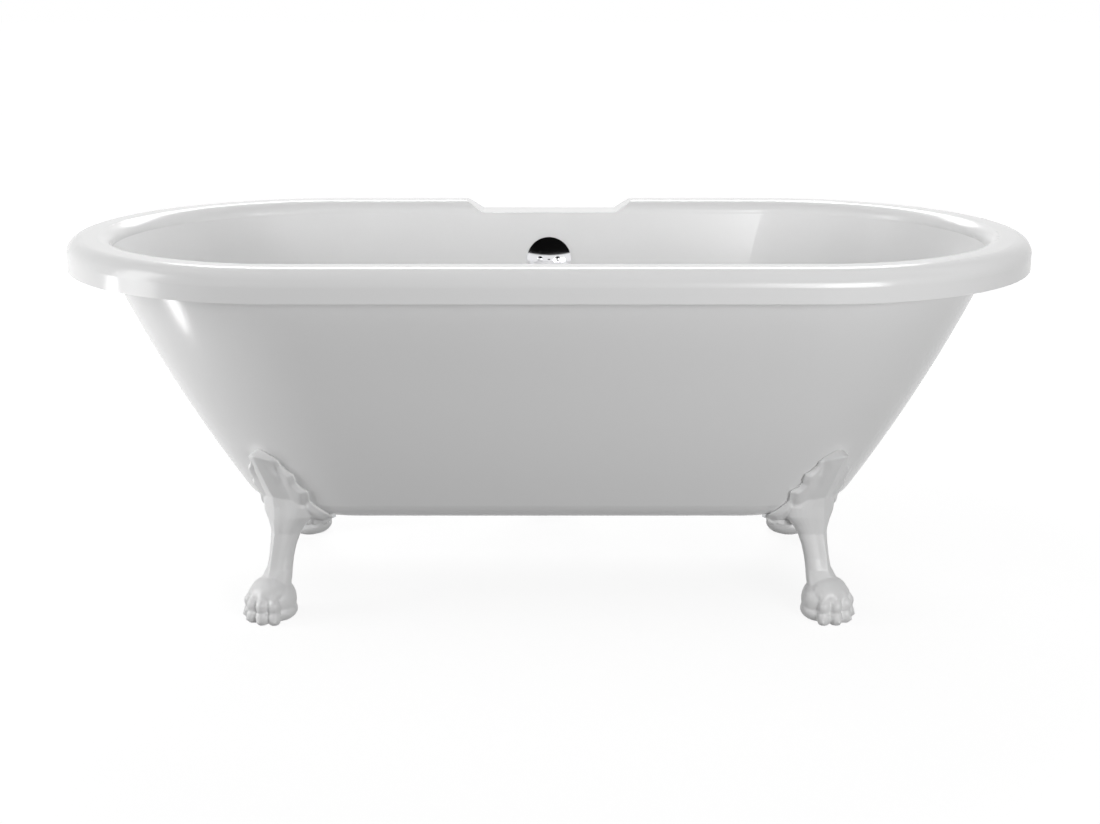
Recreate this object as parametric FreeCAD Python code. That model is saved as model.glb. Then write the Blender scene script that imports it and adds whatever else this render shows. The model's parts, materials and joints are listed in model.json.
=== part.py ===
"""Freestanding double-ended bathtub on four cast claw feet, in millimetres.

Frame: +X runs along the bath, +Y points to the tap ledge, +Z is up. The origin is on the floor,
under the middle of the bath. The bath is a laminated shell: an acrylic basin with a rolled rim,
a glass-fibre layer, and a glossy outer skin, with a board laid in between basin and skin.
A drain hangs under the floor of the basin and is joined to the overflow by an exposed pipe.
"""

import math
import os

import FreeCAD
import Part

Vector = FreeCAD.Vector

# ---------------------------------------------------------------- driving sizes
BATH_LENGTH = 1524.0  # over the rim
BATH_WIDTH = 762.0  # over the rim
BATH_HEIGHT = 584.0  # floor to the top of the rim
FLOOR_GAP = 159.0  # floor to the underside of the outer skin

# rolled rim
RIM_BREADTH = 68.0  # outer edge to the inside of the basin
LIP_HEIGHT = 48.0  # top of the rim to the bottom of its lip
OUTER_ROUND = 25.0
INNER_ROUND = 20.0
SHOULDER_DROP = 22.0  # top of the rim to where the basin wall starts

# walls
ACRYLIC = 5.0
FIBRE = 4.5
SKIN = 4.5
BOND_GAP = 0.3  # between one layer of the shell and the next
END_FLARE = 273.0  # how far the rim reaches beyond the foot of an end wall
SIDE_FLARE = 176.0  # and beyond the foot of a side wall
END_BULGE = 13.0  # how far the end wall bows out from a straight slope
SIDE_BULGE = 14.0
SKIN_CORNER = 46.0  # round between wall and underside
BASIN_CORNER = 72.0  # round between wall and floor of the basin
WALL_STATIONS = 6  # heights at which a wall is set out

# board laid in under the basin
BOARD_THICKNESS = 16.0
BOARD_INSET = 42.0  # from the foot of the outer skin

# tap ledge on the far rim
LEDGE_DROP = 20.0  # top of the rim to the ledge
LEDGE_WIDTH = 238.0  # flat part, along the bath
LEDGE_SLOPE_RUN = 29.0  # how far each sloping end runs out over the drop
LEDGE_BOARD_THICKNESS = 12.0
LEDGE_BOARD_LENGTH = 210.0
LEDGE_BOARD_EDGE = 3.0  # clear of the skin and of the lip

# ---------------------------------------------------------------- drain and overflow
FIT = 0.2  # radial clearance of a pipe in its fitting
FACE_GAP = 0.1  # between a seal and what it is clamped to
PIPE_RADIUS = 19.05
PIPE_WALL = 1.4
FITTING_WALL = 3.2
NUT_FLATS_RADIUS = 27.5
NUT_HEIGHT = 22.0
NUT_LIP = 3.0
NUT_CROWN = 4.8  # rise of its rounded end
SLIP_WASHER_HEIGHT = 5.0
SOCKET_DEPTH = 18.0

DRAIN_INSET = 110.0  # middle of the drain, in from the foot of the far wall
DRAIN_HOLE_RADIUS = 25.5
BARREL_RADIUS = 23.6
BARREL_BORE = 19.0
BARREL_LENGTH = 44.0
STRAINER_RADIUS = 36.5
STRAINER_EDGE = 1.2
STRAINER_CROWN = 3.4
SEAT_RADIUS = 27.0  # where the stopper's seal seats
SEAT_LAND = 2.0  # flat ring round that seat
CROSS_WIDTH = 4.0
CROSS_HEIGHT = 4.0
CROSS_DROP = 20.0  # floor of the basin to the top of the cross
HUB_RADIUS = 6.5

SHOE_FLANGE_RADIUS = 39.0
SHOE_FLANGE = 5.0
SHOE_RADIUS = 28.5
DRAIN_GASKET = 4.0
PIPE_DROP = 40.0  # underside of the skin to the middle of the level pipe

OVERFLOW_DROP = 102.0  # top of the rim to the middle of the overflow
OVERFLOW_HOLE_RADIUS = 24.0
FACEPLATE_RADIUS = 39.5
FACEPLATE_CROWN = 9.0
FACEPLATE_EDGE = 3.0
FACEPLATE_WALL = 1.6
FACEPLATE_MOUTH = 30.0  # width of the water inlet under the plate
FACEPLATE_MOUTH_HEIGHT = 6.0
SCREW_SPACING = 32.0
SCREW_RADIUS = 2.0
SCREW_HEAD_RADIUS = 4.6
SCREW_HEAD_EDGE = 0.9
SCREW_HEAD_CROWN = 1.3
SLOT_WIDTH = 1.2
SLOT_DEPTH = 1.1
SLOT_TURN = 35.0  # degrees that a slot leans
SCREW_LENGTH = 34.0
OVERFLOW_GASKET = 4.0
ELBOW_FLANGE_RADIUS = 34.0
ELBOW_FLANGE = 4.0
ELBOW_RADIUS = 25.5
ELBOW_DEPTH = 46.0
ELBOW_OUTLET = 62.0  # middle of the overflow to the end of the outlet
LUG_WIDTH = 9.0

TEE_ARM = 48.0  # middle of the tee to each mouth
TAIL_END = 30.0  # floor to the open end of the waste tail
TAIL_FREE = 28.0  # open end to the bead that stops it in a trap
TAIL_BEAD = 1.2
TAIL_BEAD_LENGTH = 2.5

# lift-and-turn stopper
STOPPER_LIFT = 10.0
STOPPER_RADIUS = 29.5
STOPPER_CROWN = 5.5
STOPPER_SKIRT = 2.5
KNOB_RADIUS = 7.0
KNOB_TOP_RADIUS = 5.2
KNOB_NECK_RADIUS = 4.2
KNOB_ROOT_RADIUS = 5.2
KNOB_ROOT = 2.0  # how deep its root is let into the cap
KNOB_NECK_RISE = 5.6
KNOB_GRIP_LOW = 9.6
KNOB_GRIP_HIGH = 13.6
KNOB_HEIGHT = 16.0
SEAL_THICKNESS = 2.6
SEAL_RADIUS = 27.5
POST_RADIUS = 3.4
SLEEVE_RADIUS = 5.4
SLEEVE_GUIDE = 8.0  # what stays on the post when the stopper is up
TURN_GAP = 0.1  # between pieces that turn or slide on each other

# ---------------------------------------------------------------- claw feet
# "Out" is how far a place lies beyond the foot of the skin's round end, along the foot.
FOOT_ANGLE = 53.0  # which way a paw points, from the bath's length
PAW_OUT = 54.0  # middle of the paw
PAW_LENGTH = 84.0
PAW_WIDTH = 82.0
PAW_HEIGHT = 58.0
PAW_TAPER = 0.7  # of the paw's size, where the leg grows out of it
TOE_COUNT = 4
TOE_RADIUS = 15.0
TOE_HEIGHT = 12.0  # floor to the middle of a toe's tip
TOE_FAN = 31.0  # degrees between neighbouring toes
KNUCKLE_RADIUS = 14.2
KNUCKLE_HEIGHT = 38.0
KNUCKLE_SHARE = 0.62  # how far along the toe the knuckle lies
HEEL_RADIUS = 32.0
HEEL_SETBACK = 9.0
HEEL_HEIGHT = 17.0  # floor to the middle of the heel
OVAL_POINTS = 8  # round a section of the leg
RIDGE = 3.0  # how far the front of the leg stands out as a ridge
ANKLE_OUT = 30.0
ANKLE_WIDTH = 43.0
ANKLE_DEPTH = 38.0
ANKLE_HEIGHT = 82.0
KNEE_OUT = 13.0
KNEE_WIDTH = 56.0
KNEE_DEPTH = 44.0
KNEE_DROP = 16.0  # below the underside of the skin
FLARE_OUT = 8.0  # where the leg spreads into the shield
FLARE_WIDTH = 92.0
FLARE_DEPTH = 56.0
RIB_SINK = 17.0  # middle of the rib's top, in from the face of the skin
RIB_WIDTH = 30.0
RIB_DEPTH = 40.0
RIB_RISE = 84.0
SHIELD_THICKNESS = 12.0
SHIELD_TOP = 121.0  # peak of the shield above the underside of the skin
SHIELD_SHOULDER = 44.0  # half its width at the shoulder below the peak
SHIELD_SHOULDER_RISE = 82.0
SHIELD_WAIST = 50.0  # half its width where it draws in
SHIELD_WAIST_RISE = 53.0
SHIELD_WING = 67.0  # half its width at the tips of its wings
SHIELD_WING_RISE = 19.0
SHIELD_HEM = 57.0  # half its width at its lower edge
SHIELD_DROP = 8.0  # lower edge below the underside of the skin
SHIELD_ROOT_IN = 55.0  # how far its web reaches in under the bath
FOOT_CLEARANCE = 0.4  # between a foot and the skin
SOLE_THICKNESS = 2.0
SOLE_PROUD = 1.0  # how far a sole stands out of its paw
SOLE_RADIUS = 21.0
PAD_DEPTH = 14.0  # thickness of the bolted lug under the bath
PAD_LENGTH = 66.0
PAD_WIDTH = 74.0
PAD_IN = 53.0  # middle of the bolted lug, in under the bath
BOLT_IN = 66.0
BOLT_SPACING = 44.0
BOLT_ACCESS = 40.0  # room for a spanner under each bolt
BOLT_RADIUS = 4.0
BOLT_HEAD_RADIUS = 7.2
BOLT_HEAD_HEIGHT = 5.3
WASHER_RADIUS = 9.5
WASHER_THICKNESS = 1.6
INSERT_RADIUS = 6.0
INSERT_LENGTH = 13.0

# ---------------------------------------------------------------- places worked out from them
BASE_LENGTH = BATH_LENGTH - 2 * END_FLARE  # outer skin, where its walls would meet the underside
BASE_WIDTH = BATH_WIDTH - 2 * SIDE_FLARE
RIM_TOP = BATH_HEIGHT
WALL_TOP = RIM_TOP - SHOULDER_DROP
LIP_BOTTOM = RIM_TOP - LIP_HEIGHT
ROLL_FOOT = WALL_TOP - ACRYLIC  # where the basin's wall turns into its roll
LAYER_TOP = ROLL_FOOT - BOND_GAP  # upper edge of the fibre layer and of the skin
LEDGE_TOP = RIM_TOP - LEDGE_DROP
RIM_RADIUS = BATH_WIDTH / 2
RIM_CENTRE = BATH_LENGTH / 2 - RIM_RADIUS  # middle of each round end
BASIN_INSET = SKIN + BOND_GAP + FIBRE + BOND_GAP + ACRYLIC  # skin's face to the basin's face
FIBRE_INSET = SKIN + BOND_GAP
ACRYLIC_INSET = FIBRE_INSET + FIBRE + BOND_GAP
SKIN_BOTTOM = FLOOR_GAP
BOARD_BOTTOM = SKIN_BOTTOM + SKIN
FIBRE_BOTTOM = BOARD_BOTTOM + BOARD_THICKNESS
ACRYLIC_BOTTOM = FIBRE_BOTTOM + FIBRE + BOND_GAP
BASIN_FLOOR = ACRYLIC_BOTTOM + ACRYLIC
DRAIN_Y = BASE_WIDTH / 2 - DRAIN_INSET
PIPE_Z = SKIN_BOTTOM - PIPE_DROP
OVERFLOW_Z = RIM_TOP - OVERFLOW_DROP
FITTING_RADIUS = PIPE_RADIUS + FIT + FITTING_WALL
PIPE_BORE = PIPE_RADIUS - PIPE_WALL
SLEEVE_LENGTH = STOPPER_LIFT + SLEEVE_GUIDE
SCREW_HEAD_HEIGHT = SCREW_HEAD_EDGE + SCREW_HEAD_CROWN
FAR = 2 * BATH_LENGTH  # longer than anything in the bath
LEVEL = 1e-6  # heights closer than this are the same


# ---------------------------------------------------------------- small helpers
def cylinder(radius, height, base, axis=Vector(0, 0, 1)):
    return Part.makeCylinder(radius, height, base, axis)


def tube(outer, inner, height, base, axis=Vector(0, 0, 1)):
    return cylinder(outer, height, base, axis).cut(cylinder(inner, height, base, axis))


def box(size, centre_bottom):
    """A box of that size, standing on the point given."""
    corner = centre_bottom - Vector(size.x / 2, size.y / 2, 0)
    return Part.makeBox(size.x, size.y, size.z, corner)


def hexagon(flats_radius, height, base):
    """A six-sided prism standing on base."""
    corner = Vector(flats_radius / math.cos(math.pi / 6), 0, 0)
    turn = FreeCAD.Rotation(Vector(0, 0, 1), 60)
    ring = [corner]
    for _ in range(5):
        ring.append(turn.multVec(ring[-1]))
    face = Part.Face(Part.makePolygon(ring + ring[:1]))
    prism = face.extrude(Vector(0, 0, height))
    prism.translate(base)
    return prism


def ball(radius, centre, stretch=Vector(1, 1, 1)):
    """A sphere, or an egg when stretched, about its centre."""
    made = Part.makeSphere(radius)
    if stretch != Vector(1, 1, 1):
        matrix = FreeCAD.Matrix()
        matrix.scale(stretch)
        made = made.transformGeometry(matrix)
    made.translate(centre)
    return made


def spun(points, axis_base=Vector(0, 0, 0), axis=Vector(0, 0, 1)):
    """A solid turned about the Z axis from a closed outline of (radius, height) pairs."""
    ring = [Vector(r, 0, z) for r, z in points]
    face = Part.Face(Part.makePolygon(ring + ring[:1]))
    return face.revolve(axis_base, axis, 360)


def one_solid(shape):
    """The single solid in a boolean's result, with split faces joined again."""
    solids = shape.removeSplitter().Solids
    if len(solids) != 1:
        raise ValueError(f"expected one solid and got {len(solids)}")
    return solids[0]


def write(name, shape):
    shape.exportStep(os.path.join("parts", name + ".step"))


# ---------------------------------------------------------------- the bath's walls
def wall_share(z):
    return (z - SKIN_BOTTOM) / (WALL_TOP - SKIN_BOTTOM)


def half_length(z):
    """Half the outer skin's length at a height."""
    top = BATH_LENGTH / 2 - RIM_BREADTH + BASIN_INSET
    foot = BASE_LENGTH / 2
    u = wall_share(z)
    return foot + (top - foot) * u + 4 * END_BULGE * u * (1 - u)


def half_width(z):
    """Half the outer skin's width at a height."""
    top = BATH_WIDTH / 2 - RIM_BREADTH + BASIN_INSET
    foot = BASE_WIDTH / 2
    u = wall_share(z)
    return foot + (top - foot) * u + 4 * SIDE_BULGE * u * (1 - u)


def stadium(length, width, z):
    """A closed outline with two straight sides and two round ends; half sizes."""
    middle = length - width
    right = Part.Arc(Vector(middle, -width, z), Vector(length, 0, z), Vector(middle, width, z))
    left = Part.Arc(Vector(-middle, width, z), Vector(-length, 0, z), Vector(-middle, -width, z))
    near = Part.LineSegment(Vector(-middle, -width, z), Vector(middle, -width, z))
    far = Part.LineSegment(Vector(middle, width, z), Vector(-middle, width, z))
    return Part.Wire([near.toShape(), right.toShape(), far.toShape(), left.toShape()])


def hull_form(inset, bottom, corner, top=WALL_TOP):
    """The bath's outer shape, drawn in by inset, solid from bottom to top, with a round lower edge."""
    heights = [bottom + (top - bottom) * i / (WALL_STATIONS - 1) for i in range(WALL_STATIONS)]
    outlines = [stadium(half_length(z) - inset, half_width(z) - inset, z) for z in heights]
    form = Part.makeLoft(outlines, True, False)
    lowest = [e for e in form.Edges if abs(e.BoundBox.ZMax - bottom) < LEVEL]
    return form.makeFillet(corner, lowest)


def rim_ring(outline):
    """A cross-section of (radius, height) edges carried round the rim's stadium."""
    face = Part.Face(Part.Wire(outline))
    pieces = []
    for side in (1, -1):
        centre = Vector(side * RIM_CENTRE, 0, 0)
        start = face.copy()
        start.translate(centre)
        start.rotate(centre, Vector(0, 0, 1), -90 if side > 0 else 90)
        pieces.append(start.revolve(centre, Vector(0, 0, 1), 180))
        pieces.append(start.extrude(Vector(-side * 2 * RIM_CENTRE, 0, 0)))
    ring = pieces[0].multiFuse(pieces[1:])
    return ring.removeSplitter()


def roll_outline(shrink, foot):
    """The rim's cross-section, drawn in by shrink; foot is its lower end."""
    outer = RIM_RADIUS - shrink
    inner = RIM_RADIUS - RIM_BREADTH + shrink
    top = RIM_TOP - shrink
    out_round = OUTER_ROUND - shrink
    in_round = INNER_ROUND - shrink
    lean = math.sqrt(0.5)
    low_out = Vector(outer, 0, top - out_round)
    high_out = Vector(outer - out_round, 0, top)
    mid_out = Vector(outer - out_round * (1 - lean), 0, top - out_round * (1 - lean))
    high_in = Vector(inner + in_round, 0, top)
    low_in = Vector(inner, 0, top - in_round)
    mid_in = Vector(inner + in_round * (1 - lean), 0, top - in_round * (1 - lean))
    foot_out = Vector(outer, 0, foot)
    foot_in = Vector(inner, 0, foot)
    return [
        Part.LineSegment(foot_out, low_out).toShape(),
        Part.Arc(low_out, mid_out, high_out).toShape(),
        Part.LineSegment(high_out, high_in).toShape(),
        Part.Arc(high_in, mid_in, low_in).toShape(),
        Part.LineSegment(low_in, foot_in).toShape(),
        Part.LineSegment(foot_in, foot_out).toShape(),
    ]


def ledge_notch(grow):
    """What is taken out of the roll to leave the tap ledge; grow thickens it for the hollow."""
    low = LEDGE_TOP - grow
    steep = math.hypot(LEDGE_DROP, LEDGE_SLOPE_RUN) / LEDGE_DROP
    half = LEDGE_WIDTH / 2 + grow * steep - grow * LEDGE_SLOPE_RUN / LEDGE_DROP
    rise = LEDGE_DROP + 4 * ACRYLIC
    out = half + rise * LEDGE_SLOPE_RUN / LEDGE_DROP
    y = BATH_WIDTH / 2 - 2 * RIM_BREADTH
    high = low + rise
    corners = [Vector(-half, y, low), Vector(half, y, low), Vector(out, y, high), Vector(-out, y, high)]
    face = Part.Face(Part.makePolygon(corners + corners[:1]))
    return face.extrude(Vector(0, 4 * RIM_BREADTH, 0))


def overflow_frame():
    """Middle of the overflow on the basin's face, the way its axis points out of the bath, and the tilt."""
    step = 1.0
    rise = half_width(OVERFLOW_Z + step) - half_width(OVERFLOW_Z - step)
    tilt = math.atan2(rise, 2 * step)
    place = Vector(0, half_width(OVERFLOW_Z) - BASIN_INSET, OVERFLOW_Z)
    return place, Vector(0, math.cos(tilt), -math.sin(tilt)), tilt


def overflow_hole():
    place, out, _ = overflow_frame()
    return cylinder(OVERFLOW_HOLE_RADIUS, 4 * BASIN_INSET, place - out * 2 * BASIN_INSET, out)


def drain_hole():
    return cylinder(DRAIN_HOLE_RADIUS, BASIN_FLOOR, Vector(0, DRAIN_Y, SKIN_BOTTOM / 2))


def basin():
    """Acrylic basin with its rolled rim and tap ledge."""
    roll = rim_ring(roll_outline(0, ROLL_FOOT))
    lip = [Vector(RIM_RADIUS - ACRYLIC, 0, LIP_BOTTOM), Vector(RIM_RADIUS, 0, LIP_BOTTOM)]
    lip += [Vector(RIM_RADIUS, 0, ROLL_FOOT), Vector(RIM_RADIUS - ACRYLIC, 0, ROLL_FOOT)]
    skirt = rim_ring(Part.makePolygon(lip + lip[:1]).Edges)
    hollow = rim_ring(roll_outline(ACRYLIC, LIP_BOTTOM)).cut(ledge_notch(ACRYLIC))
    shape = roll.fuse(skirt).cut(ledge_notch(0)).cut(hollow)
    tray = hull_form(ACRYLIC_INSET, ACRYLIC_BOTTOM, BASIN_CORNER + ACRYLIC)
    room = hull_form(BASIN_INSET, BASIN_FLOOR, BASIN_CORNER)
    shape = shape.fuse(tray).cut(room)
    return one_solid(shape.cut(drain_hole()).cut(overflow_hole()))


def fibre_layer():
    """Glass-fibre laminate on the back of the basin."""
    outside = hull_form(FIBRE_INSET, FIBRE_BOTTOM, BASIN_CORNER + ACRYLIC + BOND_GAP + FIBRE, LAYER_TOP)
    inside = hull_form(FIBRE_INSET + FIBRE, FIBRE_BOTTOM + FIBRE, BASIN_CORNER + ACRYLIC + BOND_GAP)
    return one_solid(outside.cut(inside).cut(drain_hole()).cut(overflow_hole()))


def outer_skin():
    """Glossy outer skin, open above, with its upper edge up inside the roll."""
    outside = hull_form(0, SKIN_BOTTOM, SKIN_CORNER, LAYER_TOP)
    inside = hull_form(SKIN, SKIN_BOTTOM + SKIN, SKIN_CORNER - SKIN)
    holes = [cylinder(BOLT_RADIUS + FIT, 3 * SKIN, spot - Vector(0, 0, SKIN)) for spot in bolt_spots()]
    return one_solid(outside.cut(inside).cut(drain_hole()).cut(overflow_hole()).cut(Part.makeCompound(holes)))


def base_board():
    outline = stadium(BASE_LENGTH / 2 - BOARD_INSET, BASE_WIDTH / 2 - BOARD_INSET, BOARD_BOTTOM)
    board = Part.Face(outline).extrude(Vector(0, 0, BOARD_THICKNESS))
    hole = cylinder(INSERT_RADIUS + FACE_GAP, BOARD_THICKNESS, Vector(0, 0, SKIN))
    holes = [hole.translated(spot) for spot in bolt_spots()]
    return one_solid(board.cut(drain_hole()).cut(Part.makeCompound(holes)))


def ledge_board():
    """Board glued under the tap ledge, which carries the taps."""
    near = half_width(WALL_TOP) + LEDGE_BOARD_EDGE
    far = BATH_WIDTH / 2 - ACRYLIC - LEDGE_BOARD_EDGE
    size = Vector(LEDGE_BOARD_LENGTH, far - near, LEDGE_BOARD_THICKNESS)
    return box(size, Vector(0, (near + far) / 2, LEDGE_TOP - ACRYLIC - LEDGE_BOARD_THICKNESS))


# ---------------------------------------------------------------- drain
def drain_strainer():
    """Chromed flange and threaded barrel, with a cross that holds the stopper's post."""
    z = BASIN_FLOOR + FACE_GAP
    outline = [(BARREL_BORE, z - BARREL_LENGTH), (BARREL_RADIUS, z - BARREL_LENGTH), (BARREL_RADIUS, z)]
    outline += [(STRAINER_RADIUS, z), (STRAINER_RADIUS, z + STRAINER_EDGE)]
    outline += [(SEAT_RADIUS + SEAT_LAND, z + STRAINER_CROWN), (SEAT_RADIUS, z + STRAINER_CROWN)]
    outline += [(BARREL_BORE, z)]
    ring = spun(outline)
    cross_z = z - CROSS_DROP - CROSS_HEIGHT
    arm = Vector(2 * BARREL_BORE + PIPE_WALL, CROSS_WIDTH, CROSS_HEIGHT)
    arms = [box(arm, Vector(0, 0, cross_z)), box(Vector(arm.y, arm.x, arm.z), Vector(0, 0, cross_z))]
    hub = cylinder(HUB_RADIUS, CROSS_HEIGHT, Vector(0, 0, cross_z))
    body = ring.fuse(arms + [hub]).cut(cylinder(POST_RADIUS + FACE_GAP, CROSS_HEIGHT, Vector(0, 0, cross_z)))
    body.translate(Vector(0, DRAIN_Y, 0))
    return one_solid(body)


def drain_gasket():
    z = SKIN_BOTTOM - FACE_GAP - DRAIN_GASKET
    return tube(SHOE_FLANGE_RADIUS, DRAIN_HOLE_RADIUS, DRAIN_GASKET, Vector(0, DRAIN_Y, z))


def shoe_top():
    return SKIN_BOTTOM - 2 * FACE_GAP - DRAIN_GASKET


def drain_shoe():
    """Elbow under the drain: a cup that takes the barrel, with a socket for the level pipe."""
    top = shoe_top()
    depth = top - PIPE_Z + FITTING_RADIUS
    foot = Vector(0, DRAIN_Y, top - depth)
    side = Vector(0, DRAIN_Y, PIPE_Z)
    out = Vector(0, 1, 0)
    reach = SHOE_RADIUS + SOCKET_DEPTH
    cup = cylinder(SHOE_RADIUS, depth, foot)
    flange = cylinder(SHOE_FLANGE_RADIUS, SHOE_FLANGE, Vector(0, DRAIN_Y, top - SHOE_FLANGE))
    branch = cylinder(FITTING_RADIUS, reach, side, out)
    bore = cylinder(BARREL_RADIUS + FIT, depth - FITTING_WALL, foot + Vector(0, 0, FITTING_WALL))
    socket = cylinder(PIPE_RADIUS + FIT, SOCKET_DEPTH, side + out * SHOE_RADIUS, out)
    narrow = cylinder(PIPE_BORE, reach, side, out)
    return one_solid(cup.fuse([flange, branch]).cut(bore).cut(socket).cut(narrow))


def level_pipe_span():
    """Where the level pipe starts in the shoe and ends in the tee."""
    start = DRAIN_Y + SHOE_RADIUS + FIT
    end = overflow_pipe_y() - TEE_ARM + SOCKET_DEPTH
    return start, end


def level_pipe():
    start, end = level_pipe_span()
    return tube(PIPE_RADIUS, PIPE_BORE, end - start, Vector(0, start, PIPE_Z), Vector(0, 1, 0))


# ---------------------------------------------------------------- overflow
def overflow_pipe_y():
    """Where the upright pipe stands, behind the bath."""
    place, out, _ = overflow_frame()
    behind = place + out * (elbow_start() + ELBOW_FLANGE + FITTING_RADIUS)
    return behind.y


def elbow_start():
    """From the basin's face to the face of the elbow's flange, along the overflow's axis."""
    _, _, tilt = overflow_frame()
    return BASIN_INSET * math.cos(tilt) + OVERFLOW_GASKET + 2 * FACE_GAP


def on_overflow_axis(shape, along):
    """Puts a shape drawn about +Z, standing on the origin, on the overflow's axis at that distance."""
    place, out, tilt = overflow_frame()
    placed = shape.copy()
    placed.rotate(Vector(0, 0, 0), Vector(1, 0, 0), -90 - math.degrees(tilt))
    placed.translate(place + out * along)
    return placed


def overflow_gasket():
    ring = tube(ELBOW_FLANGE_RADIUS, OVERFLOW_HOLE_RADIUS, 2 * OVERFLOW_GASKET, Vector(0, 0, 0))
    laid = on_overflow_axis(ring, elbow_start() - FACE_GAP - 2 * OVERFLOW_GASKET)
    return one_solid(laid.cut(hull_form(-FACE_GAP, SKIN_BOTTOM, SKIN_CORNER)))


def overflow_elbow():
    """Cup behind the wall, with two lugs for the faceplate's screws and an outlet that points down."""
    cup = cylinder(ELBOW_RADIUS, ELBOW_DEPTH, Vector(0, 0, 0))
    flange = cylinder(ELBOW_FLANGE_RADIUS, ELBOW_FLANGE, Vector(0, 0, 0))
    head = on_overflow_axis(cup.fuse(flange), elbow_start())
    hollow = cylinder(ELBOW_RADIUS - FITTING_WALL, ELBOW_DEPTH - FITTING_WALL, Vector(0, 0, 0))
    hollow = on_overflow_axis(hollow, elbow_start())
    y = overflow_pipe_y()
    foot = Vector(0, y, OVERFLOW_Z - ELBOW_OUTLET)
    outlet = cylinder(FITTING_RADIUS, ELBOW_OUTLET, foot)
    socket = cylinder(PIPE_RADIUS + FIT, SOCKET_DEPTH, foot)
    bore = cylinder(PIPE_BORE, ELBOW_OUTLET, foot)
    body = head.fuse(outlet).cut(hollow).cut(socket).cut(bore)
    lugs = []
    for side in (1, -1):
        x = side * SCREW_SPACING / 2
        reach = ELBOW_RADIUS - FITTING_WALL / 2
        lug = Part.makeBox(reach - abs(x) + LUG_WIDTH / 2, LUG_WIDTH, ELBOW_FLANGE)
        lug.translate(Vector(x - LUG_WIDTH / 2 if side > 0 else -reach, -LUG_WIDTH / 2, 0))
        lugs.append(lug)
    lugs = on_overflow_axis(Part.makeCompound(lugs), elbow_start())
    hole = cylinder(SCREW_RADIUS + FACE_GAP, ELBOW_FLANGE, Vector(0, 0, 0))
    holes = [hole.translated(Vector(side * SCREW_SPACING / 2, 0, 0)) for side in (1, -1)]
    holes = on_overflow_axis(Part.makeCompound(holes), elbow_start())
    return one_solid(body.fuse(lugs.Solids).cut(holes))


def dome(radius, crown, edge):
    """A shallow dome standing on the origin, with a short upright edge."""
    curve = (radius * radius + crown * crown) / (2 * crown)
    sphere = Part.makeSphere(curve, Vector(0, 0, edge + crown - curve))
    return sphere.common(cylinder(radius, edge + crown, Vector(0, 0, 0)))


def faceplate_top(x):
    """Height of the faceplate's dome above the basin's face, off its middle."""
    curve = (FACEPLATE_RADIUS**2 + FACEPLATE_CROWN**2) / (2 * FACEPLATE_CROWN)
    return FACEPLATE_EDGE + FACEPLATE_CROWN - curve + math.sqrt(curve**2 - x**2)


def facing_in(shape):
    """Puts a shape drawn about +Z on the basin's face at the overflow, pointing into the bath."""
    turned = shape.copy()
    turned.rotate(Vector(0, 0, 0), Vector(1, 0, 0), 180)
    return on_overflow_axis(turned, -FACE_GAP)


def overflow_faceplate():
    """Domed plate over the overflow, with its back edge trimmed to the basin's curved wall."""
    outer = dome(FACEPLATE_RADIUS, FACEPLATE_CROWN, FACEPLATE_EDGE)
    thin = FACEPLATE_WALL / 2
    inner = dome(FACEPLATE_RADIUS - FACEPLATE_WALL, FACEPLATE_CROWN - thin, FACEPLATE_EDGE - thin)
    mouth = Vector(FACEPLATE_MOUTH, FACEPLATE_RADIUS, FACEPLATE_MOUTH_HEIGHT)
    cuts = [inner, box(mouth, Vector(0, -FACEPLATE_RADIUS, 0))]
    for side in (1, -1):
        x = side * SCREW_SPACING / 2
        cuts.append(cylinder(SCREW_RADIUS + FIT, faceplate_top(0), Vector(x, 0, 0)))
    plate = facing_in(outer.cut(cuts))
    return one_solid(plate.common(hull_form(BASIN_INSET + FACE_GAP, BASIN_FLOOR, BASIN_CORNER)))


def overflow_screws():
    """Two slotted screws with oval heads, through the faceplate into the elbow's lugs."""
    made = []
    for side in (1, -1):
        x = side * SCREW_SPACING / 2
        seat = faceplate_top(abs(x) - SCREW_HEAD_RADIUS) + FACE_GAP
        head = dome(SCREW_HEAD_RADIUS, SCREW_HEAD_CROWN, SCREW_HEAD_EDGE)
        slot_size = Vector(4 * SCREW_HEAD_RADIUS, SLOT_WIDTH, SLOT_DEPTH)
        slot = box(slot_size, Vector(0, 0, SCREW_HEAD_HEIGHT - SLOT_DEPTH))
        slot.rotate(Vector(0, 0, 0), Vector(0, 0, 1), side * SLOT_TURN)
        shank = cylinder(SCREW_RADIUS, SCREW_LENGTH, Vector(0, 0, -SCREW_LENGTH))
        screw = head.cut(slot).fuse(shank)
        screw.translate(Vector(x, 0, seat))
        made.append(one_solid(screw))
    return facing_in(Part.makeCompound(made))


# ---------------------------------------------------------------- pipes between them
def waste_tee():
    """Tee behind the bath: the overflow comes in above, the drain from the side, the tail leaves below."""
    middle = Vector(0, overflow_pipe_y(), PIPE_Z)
    run = cylinder(FITTING_RADIUS, 2 * TEE_ARM, middle - Vector(0, 0, TEE_ARM))
    side = cylinder(FITTING_RADIUS, TEE_ARM, middle, Vector(0, -1, 0))
    bores = [cylinder(PIPE_BORE, 2 * TEE_ARM, middle - Vector(0, 0, TEE_ARM))]
    bores.append(cylinder(PIPE_BORE, TEE_ARM, middle, Vector(0, -1, 0)))
    for way in (Vector(0, 0, 1), Vector(0, 0, -1), Vector(0, -1, 0)):
        mouth = middle + way * (TEE_ARM - SOCKET_DEPTH)
        bores.append(cylinder(PIPE_RADIUS + FIT, SOCKET_DEPTH, mouth, way))
    return one_solid(run.fuse(side).cut(bores))


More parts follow.
